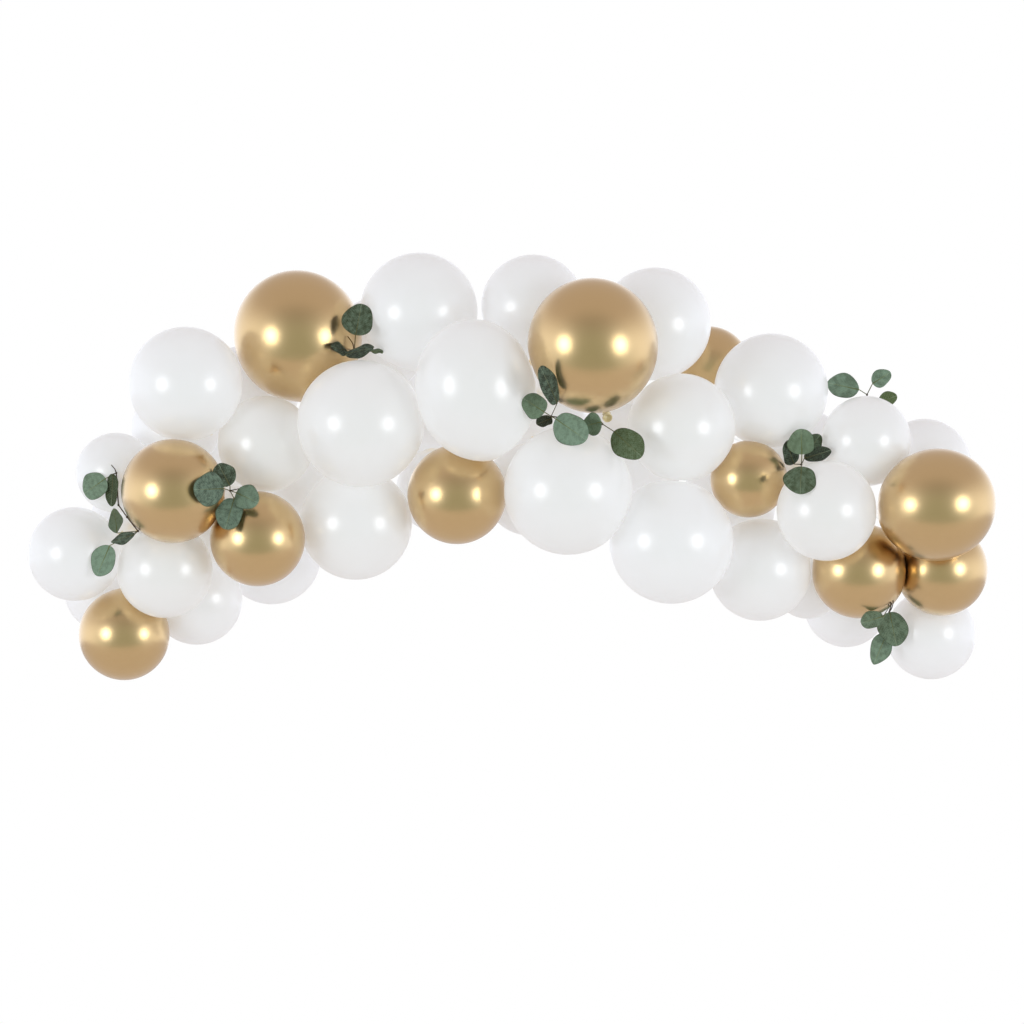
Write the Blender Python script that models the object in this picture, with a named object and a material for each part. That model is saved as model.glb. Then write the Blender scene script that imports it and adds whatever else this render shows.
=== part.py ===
"""Balloon garland: white and chrome gold latex balloons and eucalyptus sprigs on an arched strip.

Metres, +Z up. The front faces -Y and +X is to the right. The origin is on the top face of the strip's
crown, where the garland is hung. Every balloon and leaf has its place by its distance from the crown
and its height over the strip, so the whole garland follows the strip's arch.
"""

import math

import bpy
import bmesh
import numpy as np
from mathutils import Vector
from mathutils.bvhtree import BVHTree

# Room left between pieces that touch
GAP = 0.0003

# The decorating strip, a perforated plastic tape bent into a shallow arch
STRIP_REACH = 0.765
CROWN_RADIUS = 1.06
STRIP_WIDTH = 0.015
STRIP_THICKNESS = 0.0008
STRIP_STRETCHES = 23
CROWN_HALF = STRIP_REACH / STRIP_STRETCHES

# How balloons press on each other: the share of their two radii that a pair may lose
PRESS = 0.07
# A balloon's centre stays this share of its radius away from the strip's middle
STRIP_STANDOFF = 0.7
SETTLE_ROUNDS = 500
SETTLE_STEP = 0.25
# In each round a balloon also goes back this share of the way to its own depth
SETTLE_RETURN = 0.01

# The balloon's form: a round bulb that draws out towards the neck, where it is knotted
BULB_CORNERS = 56
NECK_DRAW = 0.15
NECK_RADIUS = 0.006
NECK_CORNERS = 4
# A faceted ball of this many corners is made this much larger, so that it has the round ball's outline
FACET_SWELL = 1.012

# Name, diameter, distance across from the crown, height over the strip, and distance forward of the strip
# where its neighbours don't press it away
BALLOONS = (
    ("white_balloon_01", 0.188, -0.874, 0.036, 0.030),
    ("white_balloon_02", 0.160, -0.792, 0.134, 0.030),
    ("gold_balloon_03", 0.208, -0.676, 0.017, 0.150),
    ("gold_balloon_04", 0.182, -0.776, -0.202, -0.020),
    ("white_balloon_05", 0.192, -0.694, -0.129, 0.060),
    ("white_balloon_06", 0.184, -0.632, -0.226, -0.100),
    ("white_balloon_07", 0.164, -0.816, -0.084, -0.150),
    ("white_balloon_08", 0.228, -0.652, 0.216, 0.080),
    ("white_balloon_09", 0.176, -0.674, 0.142, -0.040),
    ("white_balloon_10", 0.200, -0.528, 0.127, -0.110),
    ("gold_balloon_11", 0.256, -0.428, 0.198, 0.030),
    ("white_balloon_12", 0.192, -0.492, 0.010, 0.070),
    ("gold_balloon_13", 0.190, -0.508, -0.172, 0.100),
    ("white_balloon_14", 0.200, -0.482, -0.216, -0.130),
    ("white_balloon_15", 0.224, -0.312, -0.218, 0.040),
    ("white_balloon_16", 0.254, -0.302, -0.021, 0.140),
    ("white_balloon_17", 0.236, -0.186, 0.176, 0.060),
    ("white_balloon_18", 0.242, -0.072, 0.006, 0.200),
    ("gold_balloon_19", 0.198, -0.110, -0.200, 0.100),
    ("white_balloon_20", 0.208, 0.042, 0.171, 0.040),
    ("gold_balloon_21", 0.260, 0.161, 0.104, 0.220),
    ("white_balloon_22", 0.224, 0.286, 0.175, 0.030),
    ("gold_balloon_23", 0.168, 0.394, 0.121, -0.110),
    ("white_balloon_24", 0.228, 0.518, 0.129, 0.030),
    ("white_balloon_25", 0.216, 0.338, -0.018, 0.110),
    ("white_balloon_26", 0.256, 0.112, -0.192, 0.160),
    ("white_balloon_27", 0.248, 0.318, -0.252, 0.120),
    ("gold_balloon_28", 0.154, 0.473, -0.069, 0.070),
    ("white_balloon_29", 0.204, 0.496, -0.240, 0.020),
    ("white_balloon_30", 0.200, 0.628, -0.052, 0.130),
    ("white_balloon_31", 0.180, 0.708, 0.138, 0.040),
    ("white_balloon_32", 0.188, 0.826, 0.174, -0.070),
    ("gold_balloon_33", 0.224, 0.848, 0.113, 0.110),
    ("gold_balloon_34", 0.190, 0.694, -0.131, 0.010),
    ("gold_balloon_35", 0.184, 0.860, -0.007, -0.040),
    ("white_balloon_36", 0.180, 0.840, -0.153, -0.140),
    ("white_balloon_37", 0.168, 0.670, -0.216, -0.190),
    ("white_balloon_38", 0.136, 0.592, -0.221, -0.100),
    ("white_balloon_39", 0.184, 0.036, -0.195, -0.030),
    ("white_balloon_40", 0.168, -0.148, -0.186, -0.070),
    ("white_balloon_41", 0.192, -0.268, 0.128, -0.110),
    ("fill_balloon_42", 0.164, -0.412, -0.100, -0.070),
    ("fill_balloon_43", 0.168, -0.580, -0.100, -0.035),
    ("fill_balloon_44", 0.204, 0.048, -0.040, -0.100),
    ("fill_balloon_45", 0.226, 0.242, -0.085, -0.060),
    ("fill_balloon_46", 0.192, 0.432, -0.138, -0.090),
    ("fill_balloon_47", 0.184, 0.582, 0.034, -0.090),
    ("fill_balloon_48", 0.168, -0.764, 0.009, -0.110),
    ("fill_balloon_49", 0.180, -0.620, 0.030, -0.170),
    ("fill_balloon_50", 0.214, -0.166, -0.042, -0.150),
)

# Balloons that are longer than they are wide: how much longer
STRETCH = {
    "gold_balloon_11": 1.03,
    "white_balloon_18": 1.17,
    "gold_balloon_21": 1.04,
    "gold_balloon_33": 1.06,
}
# Balloons whose neck shows or doesn't point at the strip: the way that it points
NECK_WAY = {
    "white_balloon_18": (0.17, 0.20, -1.0),
    "gold_balloon_21": (0.20, 0.40, -1.0),
    "gold_balloon_33": (-1.0, 0.25, -0.2),
}


def strip_height(across):
    """Height of the strip's top face: a parabola, level along the crown stretch."""
    return -np.maximum(0.0, np.square(across) - CROWN_HALF**2) / (2.0 * CROWN_RADIUS)


def strip_line():
    """The corners of the strip's top face along its middle, from left to right."""
    across = np.linspace(-STRIP_REACH, STRIP_REACH, STRIP_STRETCHES + 1)
    return np.stack([across, np.zeros_like(across), strip_height(across)], axis=1)


def unit(vectors):
    """Vectors of length 1 along the last axis."""
    return vectors / np.linalg.norm(vectors, axis=-1, keepdims=True)


def nearest_on_strip(points):
    """For each point, the nearest point of every strip stretch: an array of points by stretches."""
    line = strip_line()
    start, along = line[:-1], line[1:] - line[:-1]
    share = ((points[:, None] - start) * along).sum(-1) / (along * along).sum(-1)
    return start + np.clip(share, 0.0, 1.0)[..., None] * along


def bulb_radius(ways, neck, radius, stretch):
    """The bulb's radius along unit ways: an ellipsoid, stretched along the neck."""
    along = ways @ neck
    return radius / np.sqrt(1.0 - along**2 + (along / stretch) ** 2)


class Balloons:
    """Where all balloons are, which way their necks point, and how they press on each other."""

    def __init__(self):
        self.names = [row[0] for row in BALLOONS]
        table = np.array([row[1:] for row in BALLOONS])
        self.radius = table[:, 0] / 2.0
        across, over, forward = table[:, 1], table[:, 2], table[:, 3]
        self.centre = np.stack([across, -forward, strip_height(across) + over], axis=1)
        self.stretch = np.array([STRETCH.get(name, 1.0) for name in self.names])
        self.find_necks()
        self.settle()

    def find_necks(self):
        """Point every neck at the nearest place on the strip, where it is tied."""
        nearest = nearest_on_strip(self.centre)
        away = np.linalg.norm(nearest - self.centre[:, None], axis=-1)
        place = nearest[np.arange(len(self.names)), away.argmin(axis=1)]
        self.neck = unit(place - self.centre)
        for name, way in NECK_WAY.items():
            self.neck[self.names.index(name)] = unit(np.array(way))

    def reach(self, first, second):
        """Radius of each first balloon towards its second one."""
        way = unit(self.centre[second] - self.centre[first])
        along = (way * self.neck[first]).sum(-1)
        return self.radius[first] / np.sqrt(1.0 - along**2 + (along / self.stretch[first]) ** 2)

    def settle(self):
        """Slide the balloons in depth alone until no pair presses on each other by more than PRESS."""
        first, second = np.triu_indices(len(self.names), 1)
        own_depth = self.centre[:, 1].copy()
        for _ in range(SETTLE_ROUNDS):
            self.centre[:, 1] += SETTLE_RETURN * (own_depth - self.centre[:, 1])
            apart = self.centre[second] - self.centre[first]
            wanted = (1.0 - PRESS) * (self.reach(first, second) + self.reach(second, first))
            flat = apart[:, 0] ** 2 + apart[:, 2] ** 2
            lack = np.sqrt(np.maximum(0.0, wanted**2 - flat)) - np.abs(apart[:, 1])
            push = np.maximum(0.0, lack) * SETTLE_STEP * np.where(apart[:, 1] < 0.0, -1.0, 1.0)
            np.add.at(self.centre[:, 1], second, push)
            np.add.at(self.centre[:, 1], first, -push)
            self.clear_strip()
        self.find_necks()

    def clear_strip(self):
        """Keep every centre off the strip, on the side that it is on."""
        nearest = nearest_on_strip(self.centre)
        away = self.centre[:, None] - nearest
        flat = (away[..., 0] ** 2 + away[..., 2] ** 2).min(axis=1)
        wanted = np.sqrt(np.maximum(0.0, (STRIP_STANDOFF * self.radius) ** 2 - flat))
        side = np.where(self.centre[:, 1] < 0.0, -1.0, 1.0)
        self.centre[:, 1] = side * np.maximum(np.abs(self.centre[:, 1]), wanted)

    def contacts(self, index):
        """Planes that a balloon stays behind: their outward ways, and their distance from its centre."""
        others = np.array([k for k in range(len(self.names)) if k != index])
        here = np.full(len(others), index)
        apart = self.centre[others] - self.centre[index]
        distance = np.linalg.norm(apart, axis=1)
        own, other = self.reach(here, others), self.reach(others, here)
        room = (distance**2 + own**2 - other**2) / (2.0 * distance) - GAP / 2.0
        near = distance < (own + other) * (1.0 + NECK_DRAW)
        ways, rooms = [apart[near] / distance[near, None]], [room[near]]
        touch = distance[near] < (own + other)[near]
        strip = nearest_on_strip(self.centre[index : index + 1])[0] - self.centre[index]
        strip_distance = np.linalg.norm(strip, axis=1)
        strip_way = strip / strip_distance[:, None]
        half = STRIP_WIDTH / 2.0 * np.abs(strip_way[:, 1]) + STRIP_THICKNESS
        ways.append(strip_way)
        rooms.append(strip_distance - half - GAP)
        touch = np.concatenate([touch, np.zeros(len(strip), dtype=bool)])
        return np.concatenate(ways), np.concatenate(rooms), touch


def even_ways(count):
    """Unit vectors spread evenly over a ball, by the golden angle."""
    step = np.arange(count) + 0.5
    height = 1.0 - 2.0 * step / count
    turn = math.pi * (1.0 + math.sqrt(5.0)) * step
    ring = np.sqrt(1.0 - height**2)
    return np.stack([ring * np.cos(turn), ring * np.sin(turn), height], axis=1)


def axes_across(way):
    """Two unit vectors square to a way and to each other."""
    helper = np.array([0.0, 0.0, 1.0]) if abs(way[2]) < 0.9 else np.array([1.0, 0.0, 0.0])
    side = unit(np.cross(way, helper))
    return side, np.cross(way, side)


def balloon_corners(balloons, index):
    """Corners of one balloon about its centre: bulb, knotted neck and the middle of each contact."""
    neck = balloons.neck[index]
    radius = balloons.radius[index] * FACET_SWELL
    side, up = axes_across(neck)
    ways = even_ways(BULB_CORNERS) @ np.stack([side, up, neck])
    bulb = ways * bulb_radius(ways, neck, radius, balloons.stretch[index])[:, None]
    turn = np.arange(NECK_CORNERS) * 2.0 * math.pi / NECK_CORNERS
    ring = NECK_RADIUS * (np.cos(turn)[:, None] * side + np.sin(turn)[:, None] * up)
    tip = ring + neck * radius * balloons.stretch[index] * (1.0 + NECK_DRAW)
    plane_ways, rooms, touch = balloons.contacts(index)
    feet = plane_ways[touch] * rooms[touch, None]
    corners = np.concatenate([bulb, tip, feet])
    excess = ((corners @ plane_ways.T) / rooms).max(axis=1)
    return corners / np.maximum(1.0, excess)[:, None]


# The sprigs: silver-dollar eucalyptus, thin twigs with round leaves, pushed into the gaps between balloons
LEAF_THICKNESS = 0.0008
LEAF_CORNERS = 10
LEAF_CLEARANCE = 0.0025
LEAF_LEAN = 0.6
TWIG_RADIUS = 0.0012
TWIG_SIDES = 3
TWIG_PIECES = 3
BUD_RADIUS = 0.0022
# Twigs and forks keep this far from a balloon's side
TWIG_REACH = 0.004
# How far a twig runs on into the leaf blade, as its midrib
MIDRIB_SHARE = 0.35
# How far behind its leaves a twig forks
FORK_DEPTH = 0.015
ROOT_MOST = 0.20
# A leaf sits at most this far behind the middle of its sprig
LEAF_DEEPEST = 0.02
# A leaf that crosses the ones before it slides outwards in steps of the clearance, at most this often
SLIDES_MOST = 60
FAR_AWAY = 1.0

# Each sprig: the root's distance across and height over the strip, the twig's forks as steps right and up
# from the root, and the leaves: fork, base right and up, tip right and up, width, tilt in degrees
SPRIGS = {
    "eucalyptus_sprig_left": {
        "root": (-0.746, -0.016),
        "forks": ((0.0, 0.0), (-0.022, 0.028), (-0.040, 0.052), (-0.044, 0.116)),
        "leaves": (
            (3, -0.065, 0.105, -0.110, 0.074, 0.054, 10.0),
            (3, -0.050, 0.114, -0.054, 0.050, 0.030, 30.0),
            (0, -0.043, -0.004, -0.048, 0.045, 0.042, 50.0),
            (0, -0.057, -0.029, -0.083, -0.090, 0.048, 0.0),
            (0, -0.006, -0.006, -0.054, -0.022, 0.044, -60.0),
        ),
    },
    "eucalyptus_sprig_mid_left": {
        "root": (-0.562, -0.049),
        "forks": ((0.0, 0.0),),
        "leaves": (
            (0, 0.000, 0.010, -0.024, 0.055, 0.044, 0.0),
            (0, 0.008, -0.016, -0.010, -0.078, 0.054, 0.0),
            (0, 0.012, -0.004, 0.056, -0.024, 0.050, 0.0),
            (0, -0.012, 0.004, -0.074, 0.002, 0.066, 0.0),
        ),
    },
    "eucalyptus_sprig_top_left": {
        "root": (-0.315, 0.128),
        "forks": ((0.0, 0.0),),
        "leaves": (
            (0, 0.033, -0.001, 0.057, 0.002, 0.024, 60.0),
            (0, -0.013, -0.001, -0.045, 0.010, 0.042, 60.0),
            (0, -0.017, -0.007, 0.039, 0.009, 0.050, 63.0),
            (0, 0.003, 0.031, 0.015, 0.094, 0.062, 0.0),
        ),
    },
    "eucalyptus_sprig_centre": {
        "root": (0.078, -0.047),
        "forks": ((0.0, 0.0), (0.102, -0.015)),
        "leaves": (
            (0, 0.012, 0.026, -0.020, 0.098, 0.046, 40.0),
            (0, 0.002, -0.004, -0.029, -0.017, 0.040, 50.0),
            (1, 0.100, -0.011, 0.064, -0.020, 0.044, 0.0),
            (1, 0.125, -0.030, 0.182, -0.082, 0.058, 0.0),
            (0, -0.013, 0.008, -0.056, 0.036, 0.050, 0.0),
            (0, 0.009, -0.005, 0.069, -0.047, 0.062, 0.0),
        ),
    },
    "eucalyptus_sprig_right_top": {
        "root": (0.710, 0.212),
        "forks": ((0.0, 0.0), (0.0, 0.020)),
        "behind": True,
        "leaves": (
            (1, -0.016, 0.030, -0.080, 0.044, 0.050, 0.0),
            (1, 0.011, 0.042, 0.047, 0.065, 0.034, 0.0),
            (0, 0.024, 0.004, 0.060, 0.018, 0.030, 0.0),
        ),
    },
    "eucalyptus_sprig_right": {
        "root": (0.578, 0.012),
        "forks": ((0.0, 0.0),),
        "leaves": (
            (0, -0.015, 0.001, -0.030, 0.048, 0.040, 25.0),
            (0, 0.010, 0.020, 0.038, 0.060, 0.034, 0.0),
            (0, 0.006, 0.012, 0.060, 0.030, 0.030, 20.0),
            (0, 0.001, 0.020, -0.001, 0.071, 0.055, 0.0),
            (0, -0.001, -0.004, -0.004, -0.058, 0.066, 0.0),
        ),
    },
    "eucalyptus_sprig_low_right": {
        "root": (0.758, -0.153),
        "forks": ((0.0, 0.0), (-0.004, -0.020)),
        "leaves": (
            (0, -0.016, -0.025, -0.062, -0.039, 0.036, 0.0),
            (1, -0.007, -0.058, -0.034, -0.122, 0.042, 0.0),
            (1, -0.002, -0.017, 0.012, -0.085, 0.058, 0.0),
        ),
    },
}

# Colours of the plain materials, as linear values, with their roughness and metallic value
FINISHES = {
    "white": ((0.80, 0.80, 0.82), 0.30, 0.0),
    "gold": ((0.55, 0.40, 0.18), 0.22, 0.9),
    "fill": ((0.80, 0.80, 0.82), 0.30, 0.0),
    "eucalyptus": ((0.13, 0.20, 0.12), 0.55, 0.0),
    "decorating": ((0.85, 0.87, 0.88), 0.20, 0.0),
}


def plain_material(kind):
    """The Principled material of one kind of piece, made once."""
    material = bpy.data.materials.get(kind)
    if material is None:
        colour, roughness, metallic = FINISHES[kind]
        material = bpy.data.materials.new(kind)
        material.use_nodes = True
        shader = material.node_tree.nodes["Principled BSDF"]
        shader.inputs["Base Color"].default_value = (*colour, 1.0)
        shader.inputs["Roughness"].default_value = roughness
        shader.inputs["Metallic"].default_value = metallic
    return material


def add_object(name, corners, faces, place=(0.0, 0.0, 0.0)):
    """A new object with a mesh of these corners and faces."""
    mesh = bpy.data.meshes.new(name)
    mesh.from_pydata([tuple(corner) for corner in corners], [], faces)
    mesh.update()
    made = bpy.data.objects.new(name, mesh)
    made.location = place
    made.data.materials.append(plain_material(name.split("_")[0]))
    bpy.context.scene.collection.objects.link(made)
    return made


def make_balloon(balloons, index):
    """One balloon as the convex hull of its corners."""
    shell = bmesh.new()
    for corner in balloon_corners(balloons, index):
        shell.verts.new(corner)
    hull = bmesh.ops.convex_hull(shell, input=shell.verts)
    inside = [item for item in hull["geom_interior"] if isinstance(item, bmesh.types.BMVert)]
    bmesh.ops.delete(shell, geom=inside, context="VERTS")
    bmesh.ops.recalc_face_normals(shell, faces=shell.faces)
    shell.verts.index_update()
    corners = [vertex.co.copy() for vertex in shell.verts]
    faces = [[vertex.index for vertex in face.verts] for face in shell.faces]
    shell.free()
    return add_object(balloons.names[index], corners, faces, balloons.centre[index])


def tube_faces(rings, sides):
    """Faces of a closed tube whose corners come ring by ring."""
    faces = [tuple(range(sides))[::-1]]
    for ring in range(rings - 1):
        for side in range(sides):
            a, b = ring * sides + side, ring * sides + (side + 1) % sides
            faces.append((a, b, b + sides, a + sides))
    faces.append(tuple((rings - 1) * sides + side for side in range(sides)))
    return faces


def make_strip():
    """The tape: flat stretches from end to end, level at the crown."""
    line = strip_line()
    along = unit(np.diff(line, axis=0))
    heading = unit(np.concatenate([along[:1], along[1:] + along[:-1], along[-1:]]))
    down = np.stack([heading[:, 2], np.zeros(len(line)), -heading[:, 0]], axis=1) * STRIP_THICKNESS
    front = np.array([0.0, -STRIP_WIDTH / 2.0, 0.0])
    rings = np.stack([line - front, line + front, line + front + down, line - front + down], axis=1)
    return add_object("decorating_strip", rings.reshape(-1, 3), tube_faces(len(line), 4))


def world_tree(objects):
    """A search tree of the surfaces of objects that are placed by their location alone."""
    corners, faces = [], []
    for item in objects:
        first = len(corners)
        corners += [vertex.co + item.location for vertex in item.data.vertices]
        faces += [[first + corner for corner in face.vertices] for face in item.data.polygons]
    return BVHTree.FromPolygons(corners, faces)


class Surroundings:
    """What a sprig must stay in front of, or behind if it is tucked behind the balloons."""

    def __init__(self, tree, behind):
        self.tree = tree
        self.sign = 1.0 if behind else -1.0

    def surface(self, point):
        """Depth of the nearest surface at a point's place, or None where it is free."""
        start = Vector((point[0], self.sign * FAR_AWAY, point[2]))
        way = Vector((0.0, -self.sign, 0.0))
        hit = self.tree.ray_cast(start, way)[0]
        return hit.y if hit is not None else None

    def shift(self, points, clearance):
        """How far points must slide in depth, outwards, so that all of them clear the surfaces."""
        needs = []
        for point in points:
            depth = self.surface(point)
            if depth is not None:
                needs.append(self.sign * (depth - point[1]) + clearance)
        return self.sign * max(needs) if needs else 0.0


class Leaf:
    """One leaf blade: a thin rounded plate that leans on what is behind it."""

    def __init__(self, row, root, depth, surroundings):
        _, base_right, base_up, tip_right, tip_up, width, tilt = row
        base = root + np.array([base_right, 0.0, base_up])
        tip = root + np.array([tip_right, 0.0, tip_up])
        base[1] = tip[1] = depth
        behind_base, behind_tip = surroundings.surface(base), surroundings.surface(tip)
        if behind_base is not None and behind_tip is not None:
            most = LEAF_LEAN * np.linalg.norm(tip - base)
            tip[1] += np.clip(behind_tip - behind_base, -most, most)
        along = tip - base
        across = unit(np.array([-along[2], 0.0, along[0]]))
        normal = unit(np.cross(along, across))
        angle = math.radians(tilt)
        across = across * math.cos(angle) + normal * math.sin(angle)
        normal = unit(np.cross(along, across))
        turn = np.arange(LEAF_CORNERS) * 2.0 * math.pi / LEAF_CORNERS
        share = (1.0 - np.cos(turn)) / 2.0
        side = -width / 2.0 * np.sin(turn) * (1.0 + 0.1 * np.cos(turn))
        outline = base + share[:, None] * along + side[:, None] * across
        middle = outline.mean(axis=0)
        rim = np.concatenate([outline, (outline + np.roll(outline, 1, axis=0)) / 2.0])
        samples = np.concatenate([middle + (rim - middle) * share for share in (1.0, 0.7, 0.4, 0.0)])
        slide = np.array([0.0, surroundings.shift(samples, LEAF_CLEARANCE), 0.0])
        self.base = base + slide
        self.along = along
        self.outline = outline + slide
        self.normal = normal

    def come_forward(self, distance):
        """Slide the leaf in depth."""
        self.base[1] += distance
        self.outline[:, 1] += distance

    def solid(self):
        """Corners and faces of the blade."""
        half = self.normal * LEAF_THICKNESS / 2.0
        corners = np.concatenate([self.outline - half, self.outline + half])
        return corners, tube_faces(2, LEAF_CORNERS)

    def stalk(self, fork, surroundings):
        """Corners and faces of the twig that runs from a fork to the blade, and on as its midrib."""
        points = draped(fork, self.base, surroundings)
        return rod(points + [self.base + self.along * MIDRIB_SHARE], TWIG_RADIUS)


def rod(points, radius):
    """Corners and faces of a thin rod along points."""
    points = np.array(points)
    steps = unit(np.diff(points, axis=0))
    headings = unit(np.concatenate([steps[:1], steps[1:] + steps[:-1], steps[-1:]]))
    side = axes_across(headings[0])[0]
    turn = np.arange(TWIG_SIDES) * 2.0 * math.pi / TWIG_SIDES
    rings = []
    for point, heading in zip(points, headings):
        side = unit(side - heading * (side @ heading))
        up = np.cross(heading, side)
        rings.append(point + radius * (np.cos(turn)[:, None] * side + np.sin(turn)[:, None] * up))
    return np.concatenate(rings), tube_faces(len(points), TWIG_SIDES)


def bud(point):
    """Corners and faces of the small ball where twigs fork."""
    ball = bmesh.new()
    bmesh.ops.create_icosphere(ball, subdivisions=1, radius=BUD_RADIUS)
    ball.verts.index_update()
    corners = np.array([vertex.co for vertex in ball.verts]) + point
    faces = [[vertex.index for vertex in face.verts] for face in ball.faces]
    ball.free()
    return corners, faces


def around(point, reach):
    """A point and eight more around it in the picture's plane."""
    turn = np.arange(8) * math.pi / 4.0
    ring = np.stack([np.cos(turn), np.zeros(8), np.sin(turn)], axis=1)
    return np.concatenate([point[None], point + reach * ring])


def draped(start, end, surroundings):
    """Points from start to end, each slid outwards where it would come too near a balloon."""
    points = [start + (end - start) * step / TWIG_PIECES for step in range(TWIG_PIECES + 1)]
    for point in points[1:-1]:
        slide = surroundings.shift(around(point, TWIG_REACH), LEAF_CLEARANCE)
        if slide * surroundings.sign > 0.0:
            point[1] += slide
    return points


def root_end(start, way, tree):
    """Where a twig that is pushed in along a way first touches something."""
    length = 0.0
    room = 1.0
    while room > GAP / 10.0 and length < ROOT_MOST:
        room = tree.find_nearest(Vector(start + way * length))[3] - TWIG_RADIUS - GAP
        length += max(room, 0.0)
    return start + way * length


def fuse(name, bodies):
    """One object that is the union of closed bodies."""
    made = add_object(name, *bodies[0])
    helpers = []
    for number, body in enumerate(bodies[1:]):
        helper = add_object(f"{name}_{number}", *body)
        union = made.modifiers.new("Union", "BOOLEAN")
        union.operation = "UNION"
        union.solver = "EXACT"
        union.object = helper
        helpers.append(helper)
    evaluated = made.evaluated_get(bpy.context.evaluated_depsgraph_get())
    mesh = bpy.data.meshes.new_from_object(evaluated)
    made.modifiers.clear()
    made.data = mesh
    for helper in helpers:
        bpy.data.objects.remove(helper)
    return made


def body_tree(body):
    """A search tree of one body's surface."""
    corners, faces = body
    return BVHTree.FromPolygons([Vector(corner) for corner in corners], faces)


def stack_leaves(leaves, forks, twigs, surroundings):
    """Slide each leaf outwards until it and its stalk cross no twig or leaf before it. Returns the stalks."""
    blades, stalks = [], []
    stalk_trees = [body_tree(twig) for twig in twigs]
    for leaf, fork in zip(leaves, forks):
        for _ in range(SLIDES_MOST):
            blade = body_tree(leaf.solid())
            stalk = leaf.stalk(fork, surroundings)
            stalk_tree = body_tree(stalk)
            crossed = [other for other in blades + stalk_trees if blade.overlap(other)]
            crossed += [other for other in blades if stalk_tree.overlap(other)]
            if not crossed:
                break
            leaf.come_forward(surroundings.sign * LEAF_CLEARANCE)
        blades.append(blade)
        stalk_trees.append(stalk_tree)
        stalks.append(stalk)
    return stalks


def make_sprig(name, plan, tree):
    """One sprig: leaves first, then the twigs that carry them, and the end that is pushed in."""
    surroundings = Surroundings(tree, plan.get("behind", False))
    sign = surroundings.sign
    across, over = plan["root"]
    root = np.array([across, 0.0, float(strip_height(across)) + over])
    forks = [root + np.array([right, 0.0, up]) for right, up in plan["forks"]]
    for fork in forks:
        fork[1] += surroundings.shift(around(fork, TWIG_REACH), LEAF_CLEARANCE)
    leaves = [Leaf(row, root, forks[row[0]][1], surroundings) for row in plan["leaves"]]
    middle = sign * sum(leaf.base[1] for leaf in leaves) / len(leaves)
    for leaf in leaves:
        leaf.come_forward(sign * max(0.0, middle - LEAF_DEEPEST - sign * leaf.base[1]))
    for number, fork in enumerate(forks):
        depths = [leaf.base[1] for row, leaf in zip(plan["leaves"], leaves) if row[0] == number]
        if depths:
            fork[1] = sign * max(sign * fork[1], sign * sum(depths) / len(depths) - FORK_DEPTH)
    twigs = [rod(draped(*pair, surroundings), TWIG_RADIUS) for pair in zip(forks, forks[1:])]
    stalks = stack_leaves(leaves, [forks[row[0]] for row in plan["leaves"]], twigs, surroundings)
    bodies = [leaf.solid() for leaf in leaves] + [bud(fork) for fork in forks] + twigs + stalks
    way = np.array([0.0, -sign, 0.0])
    bodies.append(rod([forks[0], root_end(forks[0], way, tree)], TWIG_RADIUS))
    return fuse(name, bodies)


def main():
    """Clear the scene and make every piece."""
    for item in list(bpy.data.objects):
        bpy.data.objects.remove(item)
    balloons = Balloons()
    solids = [make_balloon(balloons, index) for index in range(len(balloons.names))]
    solids.append(make_strip())
    tree = world_tree(solids)
    for name, plan in SPRIGS.items():
        make_sprig(name, plan, tree)


main()
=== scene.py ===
# %% [markdown]
# # A balloon garland
#
# White and chrome gold latex balloons hang on a bent decorating strip, with eucalyptus sprigs pushed in
# between them. The frame below holds the plain solids of every balloon, the strip and the sprigs. This
# lesson measures each solid and puts a smooth, finished surface in its place: latex skins, knots, veined
# leaves.
#
# Units are metres. The front faces -Y, +X is to the right and +Z is up. The origin is on the strip's crown.

# %% Load the frame
import math

import bpy
import numpy as np
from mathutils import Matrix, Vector
from mathutils.bvhtree import BVHTree


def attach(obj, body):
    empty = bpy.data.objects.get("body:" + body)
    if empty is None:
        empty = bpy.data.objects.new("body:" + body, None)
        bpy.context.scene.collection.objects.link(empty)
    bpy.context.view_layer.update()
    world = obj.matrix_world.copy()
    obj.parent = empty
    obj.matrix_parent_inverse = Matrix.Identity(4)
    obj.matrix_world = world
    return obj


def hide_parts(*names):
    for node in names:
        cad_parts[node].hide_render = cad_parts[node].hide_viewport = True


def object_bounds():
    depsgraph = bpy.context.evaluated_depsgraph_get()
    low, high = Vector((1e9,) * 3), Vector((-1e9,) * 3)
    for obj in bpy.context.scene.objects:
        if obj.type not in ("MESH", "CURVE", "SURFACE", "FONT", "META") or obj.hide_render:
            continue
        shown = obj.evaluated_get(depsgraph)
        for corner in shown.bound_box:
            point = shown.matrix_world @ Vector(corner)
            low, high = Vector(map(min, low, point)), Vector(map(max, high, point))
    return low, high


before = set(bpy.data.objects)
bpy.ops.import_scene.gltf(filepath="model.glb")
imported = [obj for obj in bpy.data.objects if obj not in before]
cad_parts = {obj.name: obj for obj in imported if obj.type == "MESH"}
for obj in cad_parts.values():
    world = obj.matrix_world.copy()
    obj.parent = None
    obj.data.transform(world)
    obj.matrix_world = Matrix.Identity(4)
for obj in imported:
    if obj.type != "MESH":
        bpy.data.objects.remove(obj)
cad_low, cad_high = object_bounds()
node_names = sorted(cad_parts)
print(len(node_names), "solids in a box of", [round(side, 3) for side in cad_high - cad_low])

# %% [markdown]
# ## The camera
#
# The photograph was taken with a long lens, straight on and from far away: the far balloons look as large
# as the near ones. A camera 60 m away with a matching lens gives the same flat view. One pixel of the
# photograph is 2 mm on the garland, and the strip's crown is at a known pixel, which sets the camera's
# height.

# %% Camera
PIXEL = 0.002
PHOTO_SIDE = 1024
CROWN_PIXEL = (512, 392)
CAMERA_AWAY = 60.0

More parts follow.
